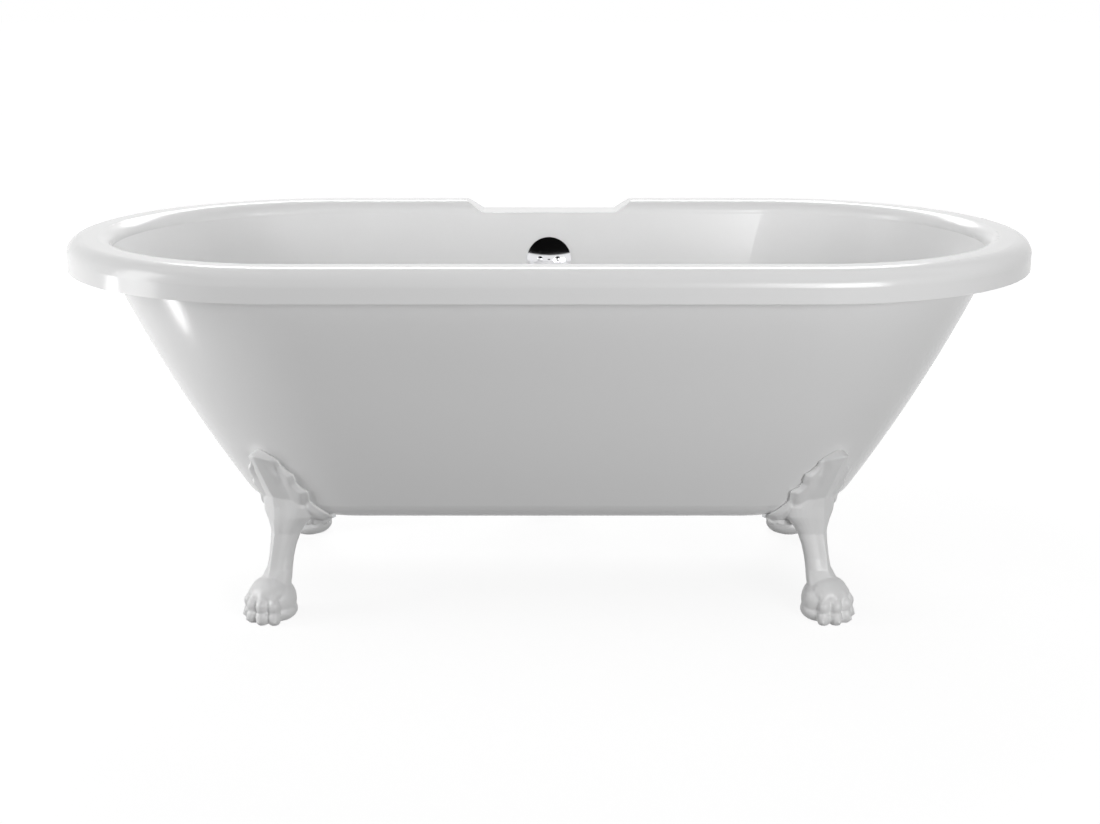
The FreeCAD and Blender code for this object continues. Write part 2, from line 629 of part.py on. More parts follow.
def overflow_pipe():
    y = overflow_pipe_y()
    low = PIPE_Z + TEE_ARM - SOCKET_DEPTH + FIT
    high = OVERFLOW_Z - ELBOW_OUTLET + SOCKET_DEPTH - FIT
    return tube(PIPE_RADIUS, PIPE_BORE, high - low, Vector(0, y, low))


def waste_tail():
    """Open end of the waste, with a raised bead that stops it in the trap it is pushed into."""
    y = overflow_pipe_y()
    high = PIPE_Z - TEE_ARM + SOCKET_DEPTH - FIT
    pipe = cylinder(PIPE_RADIUS, high - TAIL_END, Vector(0, y, TAIL_END))
    bead = cylinder(PIPE_RADIUS + TAIL_BEAD, TAIL_BEAD_LENGTH, Vector(0, y, TAIL_END + TAIL_FREE))
    return one_solid(pipe.fuse(bead).cut(cylinder(PIPE_BORE, high - TAIL_END, Vector(0, y, TAIL_END))))


def slip_nut():
    """Six-sided nut on a fitting's mouth, drawn pointing up: the mouth comes to its inner floor."""
    body = hexagon(NUT_FLATS_RADIUS, NUT_HEIGHT, Vector(0, 0, 0))
    wide = cylinder(FITTING_RADIUS + FACE_GAP, NUT_HEIGHT - NUT_LIP, Vector(0, 0, 0))
    narrow = cylinder(PIPE_RADIUS + FIT, NUT_HEIGHT, Vector(0, 0, 0))
    corner = NUT_FLATS_RADIUS / math.cos(math.pi / 6)
    crowned = dome(corner, NUT_CROWN, NUT_HEIGHT - NUT_CROWN)
    return one_solid(body.common(crowned).cut(wide).cut(narrow))


def slip_washer():
    height = SLIP_WASHER_HEIGHT
    return tube(FITTING_RADIUS - FIT, PIPE_RADIUS + FACE_GAP, height, Vector(0, 0, 0))


def joint_mouths():
    """Each mouth that takes a slip nut: where it is, and the turn about X that points +Z out of it."""
    y = overflow_pipe_y()
    return {
        "overflow_elbow_nut": (Vector(0, y, OVERFLOW_Z - ELBOW_OUTLET), 180),
        "tee_upper_nut": (Vector(0, y, PIPE_Z + TEE_ARM), 0),
        "tee_side_nut": (Vector(0, y - TEE_ARM, PIPE_Z), 90),
        "tee_lower_nut": (Vector(0, y, PIPE_Z - TEE_ARM), 180),
        "drain_shoe_nut": (Vector(0, DRAIN_Y + SHOE_RADIUS + SOCKET_DEPTH, PIPE_Z), -90),
    }


def at_mouth(shape, mouth, shift):
    """Puts a shape drawn about +Z at a mouth, moved out along it by shift."""
    place, turn = mouth
    placed = shape.copy()
    placed.translate(Vector(0, 0, shift))
    placed.rotate(Vector(0, 0, 0), Vector(1, 0, 0), turn)
    placed.translate(place)
    return placed


# ---------------------------------------------------------------- stopper
def stopper_base():
    """Height at which the closed stopper's seal lies."""
    return BASIN_FLOOR + FACE_GAP + STRAINER_CROWN + TURN_GAP


def post_foot():
    return BASIN_FLOOR + FACE_GAP - CROSS_DROP - CROSS_HEIGHT


def stopper_post():
    """Threaded post that stands in the strainer's cross."""
    foot = Vector(0, DRAIN_Y, post_foot())
    top = stopper_base() + STOPPER_SKIRT
    return cylinder(POST_RADIUS, top - foot.z, foot)


def sleeve_plate_radius():
    return SEAL_RADIUS - 2 * SEAL_THICKNESS


def stopper_sleeve():
    """Sleeve that slides on the post and carries the seal and the cap."""
    low = stopper_base() + SEAL_THICKNESS - SLEEVE_LENGTH
    barrel = cylinder(SLEEVE_RADIUS, SLEEVE_LENGTH, Vector(0, 0, 0))
    half = SEAL_THICKNESS / 2
    plate = cylinder(sleeve_plate_radius(), half, Vector(0, 0, SLEEVE_LENGTH - half))
    sleeve = barrel.fuse(plate).cut(cylinder(POST_RADIUS + TURN_GAP, SLEEVE_LENGTH, Vector(0, 0, 0)))
    return one_solid(sleeve.translated(Vector(0, DRAIN_Y, low)))


def stopper_seal():
    """Rubber ring under the sleeve's plate."""
    ring = tube(SEAL_RADIUS, SLEEVE_RADIUS + FACE_GAP, SEAL_THICKNESS, Vector(0, 0, 0))
    seat = Vector(0, 0, SEAL_THICKNESS / 2 - FACE_GAP)
    ring = ring.cut(cylinder(sleeve_plate_radius() + FACE_GAP, SEAL_THICKNESS, seat))
    return one_solid(ring.translated(Vector(0, DRAIN_Y, stopper_base())))


def stopper_cap():
    """Chromed cap with its knob, which turns on the sleeve."""
    cap = dome(STOPPER_RADIUS, STOPPER_CROWN, STOPPER_SKIRT)
    crown = STOPPER_SKIRT + STOPPER_CROWN
    knob = [(0, crown - KNOB_ROOT), (KNOB_ROOT_RADIUS, crown - KNOB_ROOT)]
    knob += [(KNOB_NECK_RADIUS, crown + KNOB_NECK_RISE), (KNOB_RADIUS, crown + KNOB_GRIP_LOW)]
    knob += [(KNOB_RADIUS, crown + KNOB_GRIP_HIGH), (KNOB_TOP_RADIUS, crown + KNOB_HEIGHT)]
    knob += [(0, crown + KNOB_HEIGHT)]
    room = cylinder(POST_RADIUS + TURN_GAP, STOPPER_SKIRT + TURN_GAP, Vector(0, 0, 0))
    body = cap.fuse(spun(knob)).cut(room)
    return one_solid(body.translated(Vector(0, DRAIN_Y, stopper_base() + SEAL_THICKNESS + TURN_GAP)))


# ---------------------------------------------------------------- claw feet
def foot_centre():
    """Middle of the outer skin's round end at its underside, from which a foot is set out."""
    return Vector(half_length(SKIN_BOTTOM) - half_width(SKIN_BOTTOM), 0, 0)


def foot_point(out, across, z):
    """A point of the near right foot: out beyond the foot of the skin, across to its left."""
    angle = math.radians(-FOOT_ANGLE)
    along = Vector(math.cos(angle), math.sin(angle), 0)
    side = Vector(-math.sin(angle), math.cos(angle), 0)
    return foot_centre() + along * (half_width(SKIN_BOTTOM) + out) + side * across + Vector(0, 0, z)


def wall_out(z):
    """How far out the skin's face lies at a height, along the foot."""
    angle = math.radians(FOOT_ANGLE)
    radius = half_width(z)
    moved = half_length(z) - radius - foot_centre().x
    reach = moved * math.cos(angle) + math.sqrt(radius**2 - (moved * math.sin(angle)) ** 2)
    return reach - half_width(SKIN_BOTTOM)


def oval(out, depth, width, z):
    """A level oval of the leg, depth along the foot and width across it, drawn out to a ridge in front."""
    points = []
    for i in range(OVAL_POINTS):
        turn = 2 * math.pi * i / OVAL_POINTS
        ridge = RIDGE if i == 0 else 0
        points.append(foot_point(out + depth / 2 * math.cos(turn) + ridge, width / 2 * math.sin(turn), z))
    curve = Part.BSplineCurve()
    curve.interpolate(points, PeriodicFlag=True)
    return Part.Wire(curve.toShape())


def leg():
    """The slim column between paw and shield, carried up the shield as a rib."""
    knee = SKIN_BOTTOM - KNEE_DROP
    shin_width = (ANKLE_WIDTH + KNEE_WIDTH) / 2
    rib_top = SKIN_BOTTOM + RIB_RISE
    rib_out = wall_out(rib_top) - RIB_SINK
    swell_depth = (FLARE_DEPTH + RIB_DEPTH) / 2
    swell_width = (FLARE_WIDTH + RIB_WIDTH) / 2
    stations = [
        oval(PAW_OUT, PAW_LENGTH * PAW_TAPER, PAW_WIDTH * PAW_TAPER, PAW_HEIGHT / 2),
        oval((PAW_OUT + ANKLE_OUT) / 2, KNEE_DEPTH, KNEE_WIDTH, PAW_HEIGHT),
        oval(ANKLE_OUT, ANKLE_DEPTH, ANKLE_WIDTH, ANKLE_HEIGHT),
        oval((ANKLE_OUT + KNEE_OUT) / 2, ANKLE_DEPTH, shin_width, (ANKLE_HEIGHT + knee) / 2),
        oval(KNEE_OUT, KNEE_DEPTH, KNEE_WIDTH, knee),
        oval(FLARE_OUT, FLARE_DEPTH, FLARE_WIDTH, SKIN_BOTTOM),
        oval((FLARE_OUT + rib_out) / 2, swell_depth, swell_width, SKIN_BOTTOM + RIB_RISE / 2),
        oval(rib_out, RIB_DEPTH, RIB_WIDTH, rib_top),
    ]
    return Part.makeLoft(stations, True, True)


def paw():
    """Lion's paw: a heel and a fan of toes, cut flat underneath."""
    heel = ball(HEEL_RADIUS, foot_point(PAW_OUT - HEEL_SETBACK, 0, HEEL_HEIGHT))
    toe_reach = PAW_LENGTH / 2 - TOE_RADIUS * KNUCKLE_SHARE
    pieces = []
    for i in range(TOE_COUNT):
        fan = math.radians((i - (TOE_COUNT - 1) / 2) * TOE_FAN)
        along, across = toe_reach * math.cos(fan), toe_reach * math.sin(fan)
        tip = foot_point(PAW_OUT + along, across, TOE_HEIGHT)
        knuckle = foot_point(PAW_OUT + along * KNUCKLE_SHARE, across * KNUCKLE_SHARE, KNUCKLE_HEIGHT)
        bone = knuckle - tip
        pieces.append(ball(TOE_RADIUS, tip))
        pieces.append(ball(KNUCKLE_RADIUS, knuckle))
        pieces.append(Part.makeCone(TOE_RADIUS, KNUCKLE_RADIUS, bone.Length, tip, bone))
    return heel.fuse(pieces)


def shield():
    """Leaf-shaped plate that hugs the lower corner of the bath, peaked above, with two wings."""
    thick = hull_form(-SHIELD_THICKNESS, SKIN_BOTTOM - SHIELD_THICKNESS, SKIN_CORNER + SHIELD_THICKNESS)
    half = [(0, SHIELD_TOP), (SHIELD_SHOULDER, SHIELD_SHOULDER_RISE), (SHIELD_WAIST, SHIELD_WAIST_RISE)]
    half += [(SHIELD_WING, SHIELD_WING_RISE), (SHIELD_HEM, -SHIELD_DROP)]
    edges = []
    hem = []
    for side in (1, -1):
        points = [foot_point(-SHIELD_ROOT_IN, side * across, SKIN_BOTTOM + rise) for across, rise in half]
        curve = Part.BSplineCurve()
        curve.interpolate(points[:-1])
        edges.append(curve.toShape())
        edges.append(Part.makeLine(points[-2], points[-1]))
        hem.append(points[-1])
    edges.append(Part.makeLine(*hem))
    face = Part.Face(Part.Wire(Part.__sortEdges__(edges)))
    along = foot_point(1, 0, 0) - foot_point(0, 0, 0)
    return thick.common(face.extrude(along * BASE_WIDTH))


def bolted_lug():
    """Flat lug under the bath that takes the two bolts of a foot."""
    lug = Part.makeBox(PAD_LENGTH, PAD_WIDTH, PAD_DEPTH, Vector(-PAD_LENGTH / 2, -PAD_WIDTH / 2, -PAD_DEPTH))
    upright = [e for e in lug.Edges if abs(e.tangentAt(e.FirstParameter).z) > 0.99]
    lug = lug.makeFillet(PAD_DEPTH, upright)
    lug.rotate(Vector(0, 0, 0), Vector(0, 0, 1), -FOOT_ANGLE)
    lug.translate(foot_point(-PAD_IN, 0, SKIN_BOTTOM - FOOT_CLEARANCE))
    return lug


def near_right_bolts():
    """Where the two bolts of the near right foot stand, at the underside of the skin."""
    return [foot_point(-BOLT_IN, s * BOLT_SPACING / 2, SKIN_BOTTOM) for s in (1, -1)]


def bolt_spots():
    return [Vector(x * p.x, y * p.y, p.z) for p in near_right_bolts() for x in (1, -1) for y in (1, -1)]


def sole_spot():
    return foot_point(PAW_OUT - HEEL_SETBACK, 0, 0)


def near_right_foot():
    """Near right foot in one casting, trimmed to the bath above it and flat where it meets its sole."""
    bath = hull_form(-FOOT_CLEARANCE, SKIN_BOTTOM - FOOT_CLEARANCE, SKIN_CORNER + FOOT_CLEARANCE)
    body = leg().fuse([paw(), shield(), bolted_lug()]).cut(bath)
    lug_bottom = SKIN_BOTTOM - FOOT_CLEARANCE - PAD_DEPTH
    cuts = []
    for spot in near_right_bolts():
        under = Vector(spot.x, spot.y, lug_bottom)
        cuts.append(cylinder(BOLT_RADIUS + FIT, 2 * PAD_DEPTH, under))
        cuts.append(cylinder(WASHER_RADIUS + 2 * FIT, BOLT_ACCESS, under - Vector(0, 0, BOLT_ACCESS)))
    recess = cylinder(SOLE_RADIUS + FIT, SOLE_THICKNESS, sole_spot())
    ground = box(Vector(FAR, FAR, PAW_HEIGHT), Vector(0, 0, SOLE_PROUD - PAW_HEIGHT))
    return one_solid(body.cut(Part.makeCompound(cuts)).cut(recess).cut(ground))


def sole():
    """Rubber sole let into the underside of a paw."""
    return cylinder(SOLE_RADIUS, SOLE_THICKNESS, sole_spot())


def bolt_stack():
    """Bolt, washer and threaded insert, drawn about +Z with the skin's underside at the origin."""
    seat = -FOOT_CLEARANCE - PAD_DEPTH - FACE_GAP
    washer = tube(WASHER_RADIUS, BOLT_RADIUS + FIT, WASHER_THICKNESS, Vector(0, 0, seat - WASHER_THICKNESS))
    under = seat - WASHER_THICKNESS - FACE_GAP
    head = hexagon(BOLT_HEAD_RADIUS, BOLT_HEAD_HEIGHT, Vector(0, 0, under - BOLT_HEAD_HEIGHT))
    reach = SKIN + INSERT_LENGTH - under
    bolt = one_solid(head.fuse(cylinder(BOLT_RADIUS, reach, Vector(0, 0, under))))
    insert = tube(INSERT_RADIUS, BOLT_RADIUS + FACE_GAP, INSERT_LENGTH, Vector(0, 0, SKIN + FACE_GAP))
    return bolt, washer, insert


def mirrored(shape, x, y):
    """A copy of the near right foot's shape for another corner."""
    made = shape.copy()
    if x < 0:
        made = made.mirror(Vector(0, 0, 0), Vector(1, 0, 0))
    if y > 0:
        made = made.mirror(Vector(0, 0, 0), Vector(0, 1, 0))
    return made


def main():
    os.makedirs("parts", exist_ok=True)

    write("basin", basin())
    write("fibre_layer", fibre_layer())
    write("outer_skin", outer_skin())
    write("base_board", base_board())
    write("tap_ledge_board", ledge_board())

    foot = near_right_foot()
    corners = {"foot_front_right": (1, -1), "foot_front_left": (-1, -1)}
    corners.update({"foot_rear_right": (1, 1), "foot_rear_left": (-1, 1)})
    for name, (x, y) in corners.items():
        write(name, mirrored(foot, x, y))
    write("foot_soles", Part.makeCompound([mirrored(sole(), x, y) for x, y in corners.values()]))
    bolt, washer, insert = bolt_stack()
    for name, piece in (("foot_bolts", bolt), ("foot_washers", washer), ("foot_inserts", insert)):
        copies = [piece.translated(spot) for spot in bolt_spots()]
        write(name, Part.makeCompound(copies))

    write("drain_strainer", drain_strainer())
    write("drain_gasket", drain_gasket())
    write("drain_shoe", drain_shoe())
    write("level_pipe", level_pipe())
    write("overflow_faceplate", overflow_faceplate())
    write("overflow_screws", overflow_screws())
    write("overflow_gasket", overflow_gasket())
    write("overflow_elbow", overflow_elbow())
    write("overflow_pipe", overflow_pipe())
    write("waste_tee", waste_tee())
    write("waste_tail", waste_tail())
    washers = []
    for name, mouth in joint_mouths().items():
        nut_shift = SLIP_WASHER_HEIGHT + 2 * FACE_GAP - NUT_HEIGHT + NUT_LIP
        write(name, at_mouth(slip_nut(), mouth, nut_shift))
        washers.append(at_mouth(slip_washer(), mouth, FACE_GAP))
    write("slip_washers", Part.makeCompound(washers))

    write("stopper_post", stopper_post())
    write("stopper_sleeve", stopper_sleeve())
    write("stopper_seal", stopper_seal())
    write("stopper_cap", stopper_cap())


main()
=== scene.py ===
"""Dresses a freestanding claw-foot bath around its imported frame, in metres.

The frame holds every piece at its real size. This script gives each one its finish, which is the
frame's own material where the frame brings one, models the four claw feet in full over the frame's
plain ones, and lays out the floor, the lamps and the camera.
"""

import json
import math

import bmesh
import bpy
from bpy.props import FloatProperty, FloatVectorProperty, IntProperty, PointerProperty
from mathutils import Matrix, Vector
from mathutils.bvhtree import BVHTree


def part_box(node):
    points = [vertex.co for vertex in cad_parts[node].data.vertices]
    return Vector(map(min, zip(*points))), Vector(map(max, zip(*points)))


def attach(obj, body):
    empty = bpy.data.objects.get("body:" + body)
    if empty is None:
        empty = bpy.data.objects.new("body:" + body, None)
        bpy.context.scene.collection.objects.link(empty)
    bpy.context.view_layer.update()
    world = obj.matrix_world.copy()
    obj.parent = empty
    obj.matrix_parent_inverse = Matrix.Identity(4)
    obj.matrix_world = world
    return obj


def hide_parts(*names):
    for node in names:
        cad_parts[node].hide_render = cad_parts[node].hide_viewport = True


bl_info = {
    "name": "Claw-foot Bath",
    "version": (1, 0, 0),
    "blender": (4, 5, 0),
    "location": "3D View > Sidebar > Bath",
    "description": "Finishes, claw feet and studio for a freestanding bath",
    "category": "Object",
}

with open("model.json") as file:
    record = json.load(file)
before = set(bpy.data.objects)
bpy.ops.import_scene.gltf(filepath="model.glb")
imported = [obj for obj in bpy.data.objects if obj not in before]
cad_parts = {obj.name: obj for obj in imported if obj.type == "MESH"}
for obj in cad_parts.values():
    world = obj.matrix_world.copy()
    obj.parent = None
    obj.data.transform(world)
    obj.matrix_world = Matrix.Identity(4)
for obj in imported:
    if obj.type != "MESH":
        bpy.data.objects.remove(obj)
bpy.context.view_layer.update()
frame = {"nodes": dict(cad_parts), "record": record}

RIM_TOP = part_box("basin")[1][2]
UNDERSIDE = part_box("outer_skin")[0][2]
BODY = "bath"

CORNERS = {"right": 1, "left": -1}
SIDES = {"front": -1, "rear": 1}

PHOTO_SIZE = (1100, 824)
PHOTO_CENTRE = (549.0, 412.0)  # pixel that the camera's axis meets
PHOTO_FOCAL = 1624.0  # focal length in pixels of the photograph
SENSOR_WIDTH = 36.0  # of the camera, in millimetres

MIX_FACTOR, MIX_DARK, MIX_LIGHT, MIX_RESULT = 0, 6, 7, 2  # colour sockets of a Mix node

SEAT_GAP = 0.0004  # between a foot and the outer skin
RAY_START = 0.5  # outside the bath in a foot's own axes, where rays at the wall begin
RIDGE_FALL = 2.4  # how fast the ridge on a leg's front falls away to its sides

# Paw and toes: reach from the paw's middle or the toes' root, height, radii and pitch of each form
PAW_FORMS = (
    (-0.007, 0.031, (0.033, 0.037, 0.036), 0.0),
    (-0.007, 0.014, (0.034, 0.038, 0.020), 0.0),
    (0.004, 0.046, (0.029, 0.031, 0.022), 0.35),
)
TOE_FORMS = (
    (0.0200, 0.042, (0.0175, 0.0115, 0.0150), 0.5),
    (0.0275, 0.028, (0.0155, 0.0108, 0.0165), 0.8),
    (0.0310, 0.011, (0.0140, 0.0108, 0.0150), 0.1),
)
TOE_ROOT = 0.002  # behind the paw's middle

# Claw: rings along a curl, shrinking to a blunt tip
CLAW_REACH, CLAW_HEIGHT = 0.036, 0.010
CLAW_LENGTH, CLAW_RADIUS, CLAW_TIP = 0.0115, 0.0046, 0.0012
CLAW_STEPS = 7
CLAW_CURL = math.radians(58)
CLAW_DROOP = 0.9  # of the drop of a round curl
CLAW_TAPER = 0.6  # under 1 keeps the claw full

# Leaf-shaped shield: half its width at each share of its rise, and the relief of its face
LEAF_OUTLINE = (
    (0.0, 0.056), (0.07, 0.064), (0.17, 0.069), (0.27, 0.058), (0.34, 0.052), (0.42, 0.055),
    (0.48, 0.057), (0.53, 0.048), (0.59, 0.043), (0.66, 0.045), (0.71, 0.045), (0.76, 0.036),
    (0.82, 0.030), (0.88, 0.029), (0.93, 0.021), (0.97, 0.012), (1.0, 0.003),
)
LEAF_GRID = (72, 96)
LEAF_LOW = 0.003  # above the underside; the hem hangs straight down from there
LEAF_BACK = 0.0006  # its back off the bath's wall
LEAF_EDGE = 0.0050  # its face off the wall at the outline
LEAF_SWELL = 0.0055  # more inside the outline
LEAF_HEM = 0.2  # share of the half width over which it swells
FOLD_HEIGHT, FOLD_HALF_WIDTH = 0.0085, 0.026
LOBES = 3.5  # between the hem and the middle fold
LOBES_TURN = 0.04  # share of a right angle that the grooves are turned up by
LOBES_DROP = 0.034  # below the underside, where the grooves would meet
GROOVE_DEPTH = 0.0058
GROOVE_FROM, GROOVE_OVER = 0.3, 0.3  # shares of the half width where a groove starts and deepens

# Lug under the bath: a thin web, and a boss round each bolt
BOLT_REACH = 0.139  # middle of the bath's round end to a foot's bolts
BOLT_ACROSS = 0.022  # and from the foot's middle to each
WEB_PAST_BOLTS = 0.008
WEB_DROP, WEB_THICK, WEB_ROUND = 0.0038, 0.0062, 0.002
BOSS_DROP, BOSS_HEIGHT = 0.0074, 0.0140
BOSS_RADIUS_LOW, BOSS_RADIUS_HIGH = 0.0108, 0.0130

# Lamps: width and height, place, the point each is turned to, and whether gloss mirrors it
LAMPS = {
    "top": ((3.4, 2.4), (0, -0.5, 2.6), (0, 0.05, 0.3), False),
    "key": ((1.6, 1.0), (1.5, -3.0, 0.9), (0.1, 0, 0.35), True),
    "left": ((0.8, 1.8), (-2.5, -0.7, 0.9), (-0.5, 0, 0.45), True),
    "back": ((3.0, 1.0), (0, 2.6, 2.4), (0, 0, 0.5), True),
    "strip": ((0.1, 0.7), (-1.25, -0.2, 0.12), (-0.55, -0.2, 0.45), True),
}

# Room: gloss sees it dark in front of the bath, above a height
GAP_LOW, GAP_BLUR = 0.40, 0.01  # sines of heights
GAP_AHEAD = (0.05, 0.15)  # sines between which the dark sets in
GAP_LIGHT = 0.004

FLOOR_HALF = 30.0
GLOW_NEAR, GLOW_FAR = 0.9, 2.5  # from the bath's middle; the floor pales to white between them


# ---------------------------------------------------------------- settings
class BathFinish(bpy.types.PropertyGroup):
    """Colours and gloss of the bath's surfaces."""

    acrylic_colour: FloatVectorProperty(
        name="Acrylic", description="Colour of the basin and the outer skin",
        subtype="COLOR", default=(0.86, 0.86, 0.86)
    )
    acrylic_roughness: FloatProperty(
        name="Acrylic roughness", description="Roughness under the gloss", default=0.16, min=0, max=1
    )
    enamel_colour: FloatVectorProperty(
        name="Foot enamel", description="Colour of the claw feet", subtype="COLOR", default=(0.9, 0.9, 0.9)
    )
    enamel_roughness: FloatProperty(
        name="Foot roughness", description="Roughness of the feet's enamel", default=0.42, min=0, max=1
    )
    chrome_colour: FloatVectorProperty(
        name="Chrome", description="Colour of the chromed fittings",
        subtype="COLOR", default=(0.83, 0.84, 0.86)
    )


class FootShape(bpy.types.PropertyGroup):
    """Sizes of a claw foot, set out from the middle of the bath's round end."""

    centre: FloatProperty(
        name="Round end", description="Bath's middle to the middle of its round end",
        subtype="DISTANCE", default=0.284
    )
    angle: FloatProperty(
        name="Angle", description="Way the paw points, from the bath's length",
        subtype="ANGLE", default=math.radians(54)
    )
    paw_reach: FloatProperty(
        name="Paw reach", description="To the middle of the paw", subtype="DISTANCE", default=0.259
    )
    ankle_reach: FloatProperty(
        name="Ankle reach", description="To the ankle", subtype="DISTANCE", default=0.236
    )
    knee_reach: FloatProperty(
        name="Knee reach", description="To the knee", subtype="DISTANCE", default=0.219
    )
    shield_rise: FloatProperty(
        name="Shield rise", description="Peak above the underside", subtype="DISTANCE", default=0.119
    )
    shield_drop: FloatProperty(
        name="Shield drop", description="Hem below the underside", subtype="DISTANCE", default=0.010
    )
    toe_count: IntProperty(name="Toes", description="Toes of a paw", default=4, min=3, max=5)
    toe_fan: FloatProperty(
        name="Toe fan", description="Angle between toes", subtype="ANGLE", default=math.radians(33)
    )
    grain: FloatProperty(
        name="Grain", description="Finest form of the casting", subtype="DISTANCE", default=0.0013
    )


class StudioSettings(bpy.types.PropertyGroup):
    """Camera and lamps."""

    camera_distance: FloatProperty(
        name="Camera distance", description="From the bath's middle", subtype="DISTANCE", default=2.595
    )
    camera_rise: FloatProperty(
        name="Camera rise", description="Above the rim", subtype="DISTANCE", default=0.3984
    )
    camera_pitch: FloatProperty(
        name="Camera pitch", description="Downward tilt", subtype="ANGLE", default=math.radians(15.19)
    )
    top_power: FloatProperty(
        name="Top lamp", description="Power of the lamp above", subtype="POWER", default=22
    )
    key_power: FloatProperty(
        name="Key lamp", description="Power of the lamp in front", subtype="POWER", default=50
    )
    left_power: FloatProperty(
        name="Left lamp", description="Power of the lamp at the left", subtype="POWER", default=20
    )
    back_power: FloatProperty(
        name="Back lamp", description="Power of the lamp behind", subtype="POWER", default=60
    )
    strip_power: FloatProperty(
        name="Strip lamp", description="Power of the low strip that gleams in the left end",
        subtype="POWER", default=3
    )
    sky: FloatProperty(name="Room light", description="Light from all round", default=0.04, min=0)
    floor_colour: FloatVectorProperty(
        name="Floor", description="Colour of the floor under the lamps",
        subtype="COLOR", default=(0.16, 0.16, 0.16)
    )
    floor_glow: FloatProperty(
        name="Floor glow", description="Paleness that the camera sees beside the bath", default=0.9, min=0
    )


# ---------------------------------------------------------------- materials
MASK_AND_NORMAL = {"Mask": "NodeSocketFloat", "Normal": "NodeSocketVector"}


def new_material(name):
    """A material with a bare Principled shader, and its node tree and shader."""
    material = bpy.data.materials.new(name)
    material.use_nodes = True
    tree = material.node_tree
    return material, tree, tree.nodes["Principled BSDF"]


def place(tree, kind, **values):
    """A node of that kind with its settings and its sockets' values."""
    node = tree.nodes.new(kind)
    for key, value in values.items():
        if key in node.inputs:
            node.inputs[key].default_value = value
        else:
            setattr(node, key, value)
    return node


def new_group(name, inputs, outputs):
    """An empty shader group with those float inputs and named outputs, and its two end nodes."""
    group = bpy.data.node_groups.new(name, "ShaderNodeTree")
    for label, value in inputs.items():
        socket = group.interface.new_socket(name=label, in_out="INPUT", socket_type="NodeSocketFloat")
        socket.default_value = value
    for label, kind in outputs.items():
        group.interface.new_socket(name=label, in_out="OUTPUT", socket_type=kind)
    return group, group.nodes.new("NodeGroupInput"), group.nodes.new("NodeGroupOutput")


def relief_group(name, noise):
    """Bump from one noise, with a scale and a height in metres."""
    group, given, made = new_group(name, {"Scale": 10.0, "Height": 0.001}, {"Normal": "NodeSocketVector"})
    where = place(group, "ShaderNodeTexCoord")
    grain = place(group, "ShaderNodeTexNoise", **noise)
    bump = place(group, "ShaderNodeBump")
    group.links.new(where.outputs["Object"], grain.inputs["Vector"])
    group.links.new(given.outputs["Scale"], grain.inputs["Scale"])
    group.links.new(grain.outputs["Fac"], bump.inputs["Height"])
    group.links.new(given.outputs["Height"], bump.inputs["Distance"])
    group.links.new(bump.outputs["Normal"], made.inputs["Normal"])


def wiped_group():
    """Roughness that drifts between two values, as on a surface that was wiped by hand."""
    inputs = {"Scale": 4.0, "Smooth": 0.1, "Dull": 0.2}
    group, given, made = new_group("wiped", inputs, {"Roughness": "NodeSocketFloat"})
    where = place(group, "ShaderNodeTexCoord")
    stretch = place(group, "ShaderNodeMapping", Scale=(1.0, 1.0, 2.6))
    smear = place(group, "ShaderNodeTexNoise", Detail=5.0, Roughness=0.6, Distortion=1.2)
    spread = place(group, "ShaderNodeMapRange")
    spread.inputs["From Min"].default_value = 0.35
    spread.inputs["From Max"].default_value = 0.7
    group.links.new(where.outputs["Object"], stretch.inputs["Vector"])
    group.links.new(stretch.outputs["Vector"], smear.inputs["Vector"])
    group.links.new(given.outputs["Scale"], smear.inputs["Scale"])
    group.links.new(smear.outputs["Fac"], spread.inputs["Value"])
    group.links.new(given.outputs["Smooth"], spread.inputs["To Min"])
    group.links.new(given.outputs["Dull"], spread.inputs["To Max"])
    group.links.new(spread.outputs["Result"], made.inputs["Roughness"])


def strands_group():
    """Chopped strands lying every way in a laminate: a mask and their relief."""
    inputs = {"Scale": 60.0, "Height": 0.0006}
    group, given, made = new_group("strands", inputs, MASK_AND_NORMAL)
    where = place(group, "ShaderNodeTexCoord")
    mask = None
    for turn in (0.2, 1.1, 2.1, 2.8):
        laid = place(group, "ShaderNodeMapping", Rotation=(turn, turn / 2, turn), Scale=(1.0, 14.0, 14.0))
        strand = place(group, "ShaderNodeTexNoise", Detail=1.0)
        edge = place(group, "ShaderNodeMapRange")
        edge.inputs["From Min"].default_value = 0.54
        edge.inputs["From Max"].default_value = 0.66
        group.links.new(where.outputs["Object"], laid.inputs["Vector"])
        group.links.new(laid.outputs["Vector"], strand.inputs["Vector"])
        group.links.new(given.outputs["Scale"], strand.inputs["Scale"])
        group.links.new(strand.outputs["Fac"], edge.inputs["Value"])
        if mask is None:
            mask = edge.outputs["Result"]
            continue
        most = place(group, "ShaderNodeMath", operation="MAXIMUM")
        group.links.new(mask, most.inputs[0])
        group.links.new(edge.outputs["Result"], most.inputs[1])
        mask = most.outputs["Value"]
    bump = place(group, "ShaderNodeBump")
    group.links.new(mask, bump.inputs["Height"])
    group.links.new(given.outputs["Height"], bump.inputs["Distance"])
    group.links.new(mask, made.inputs["Mask"])
    group.links.new(bump.outputs["Normal"], made.inputs["Normal"])


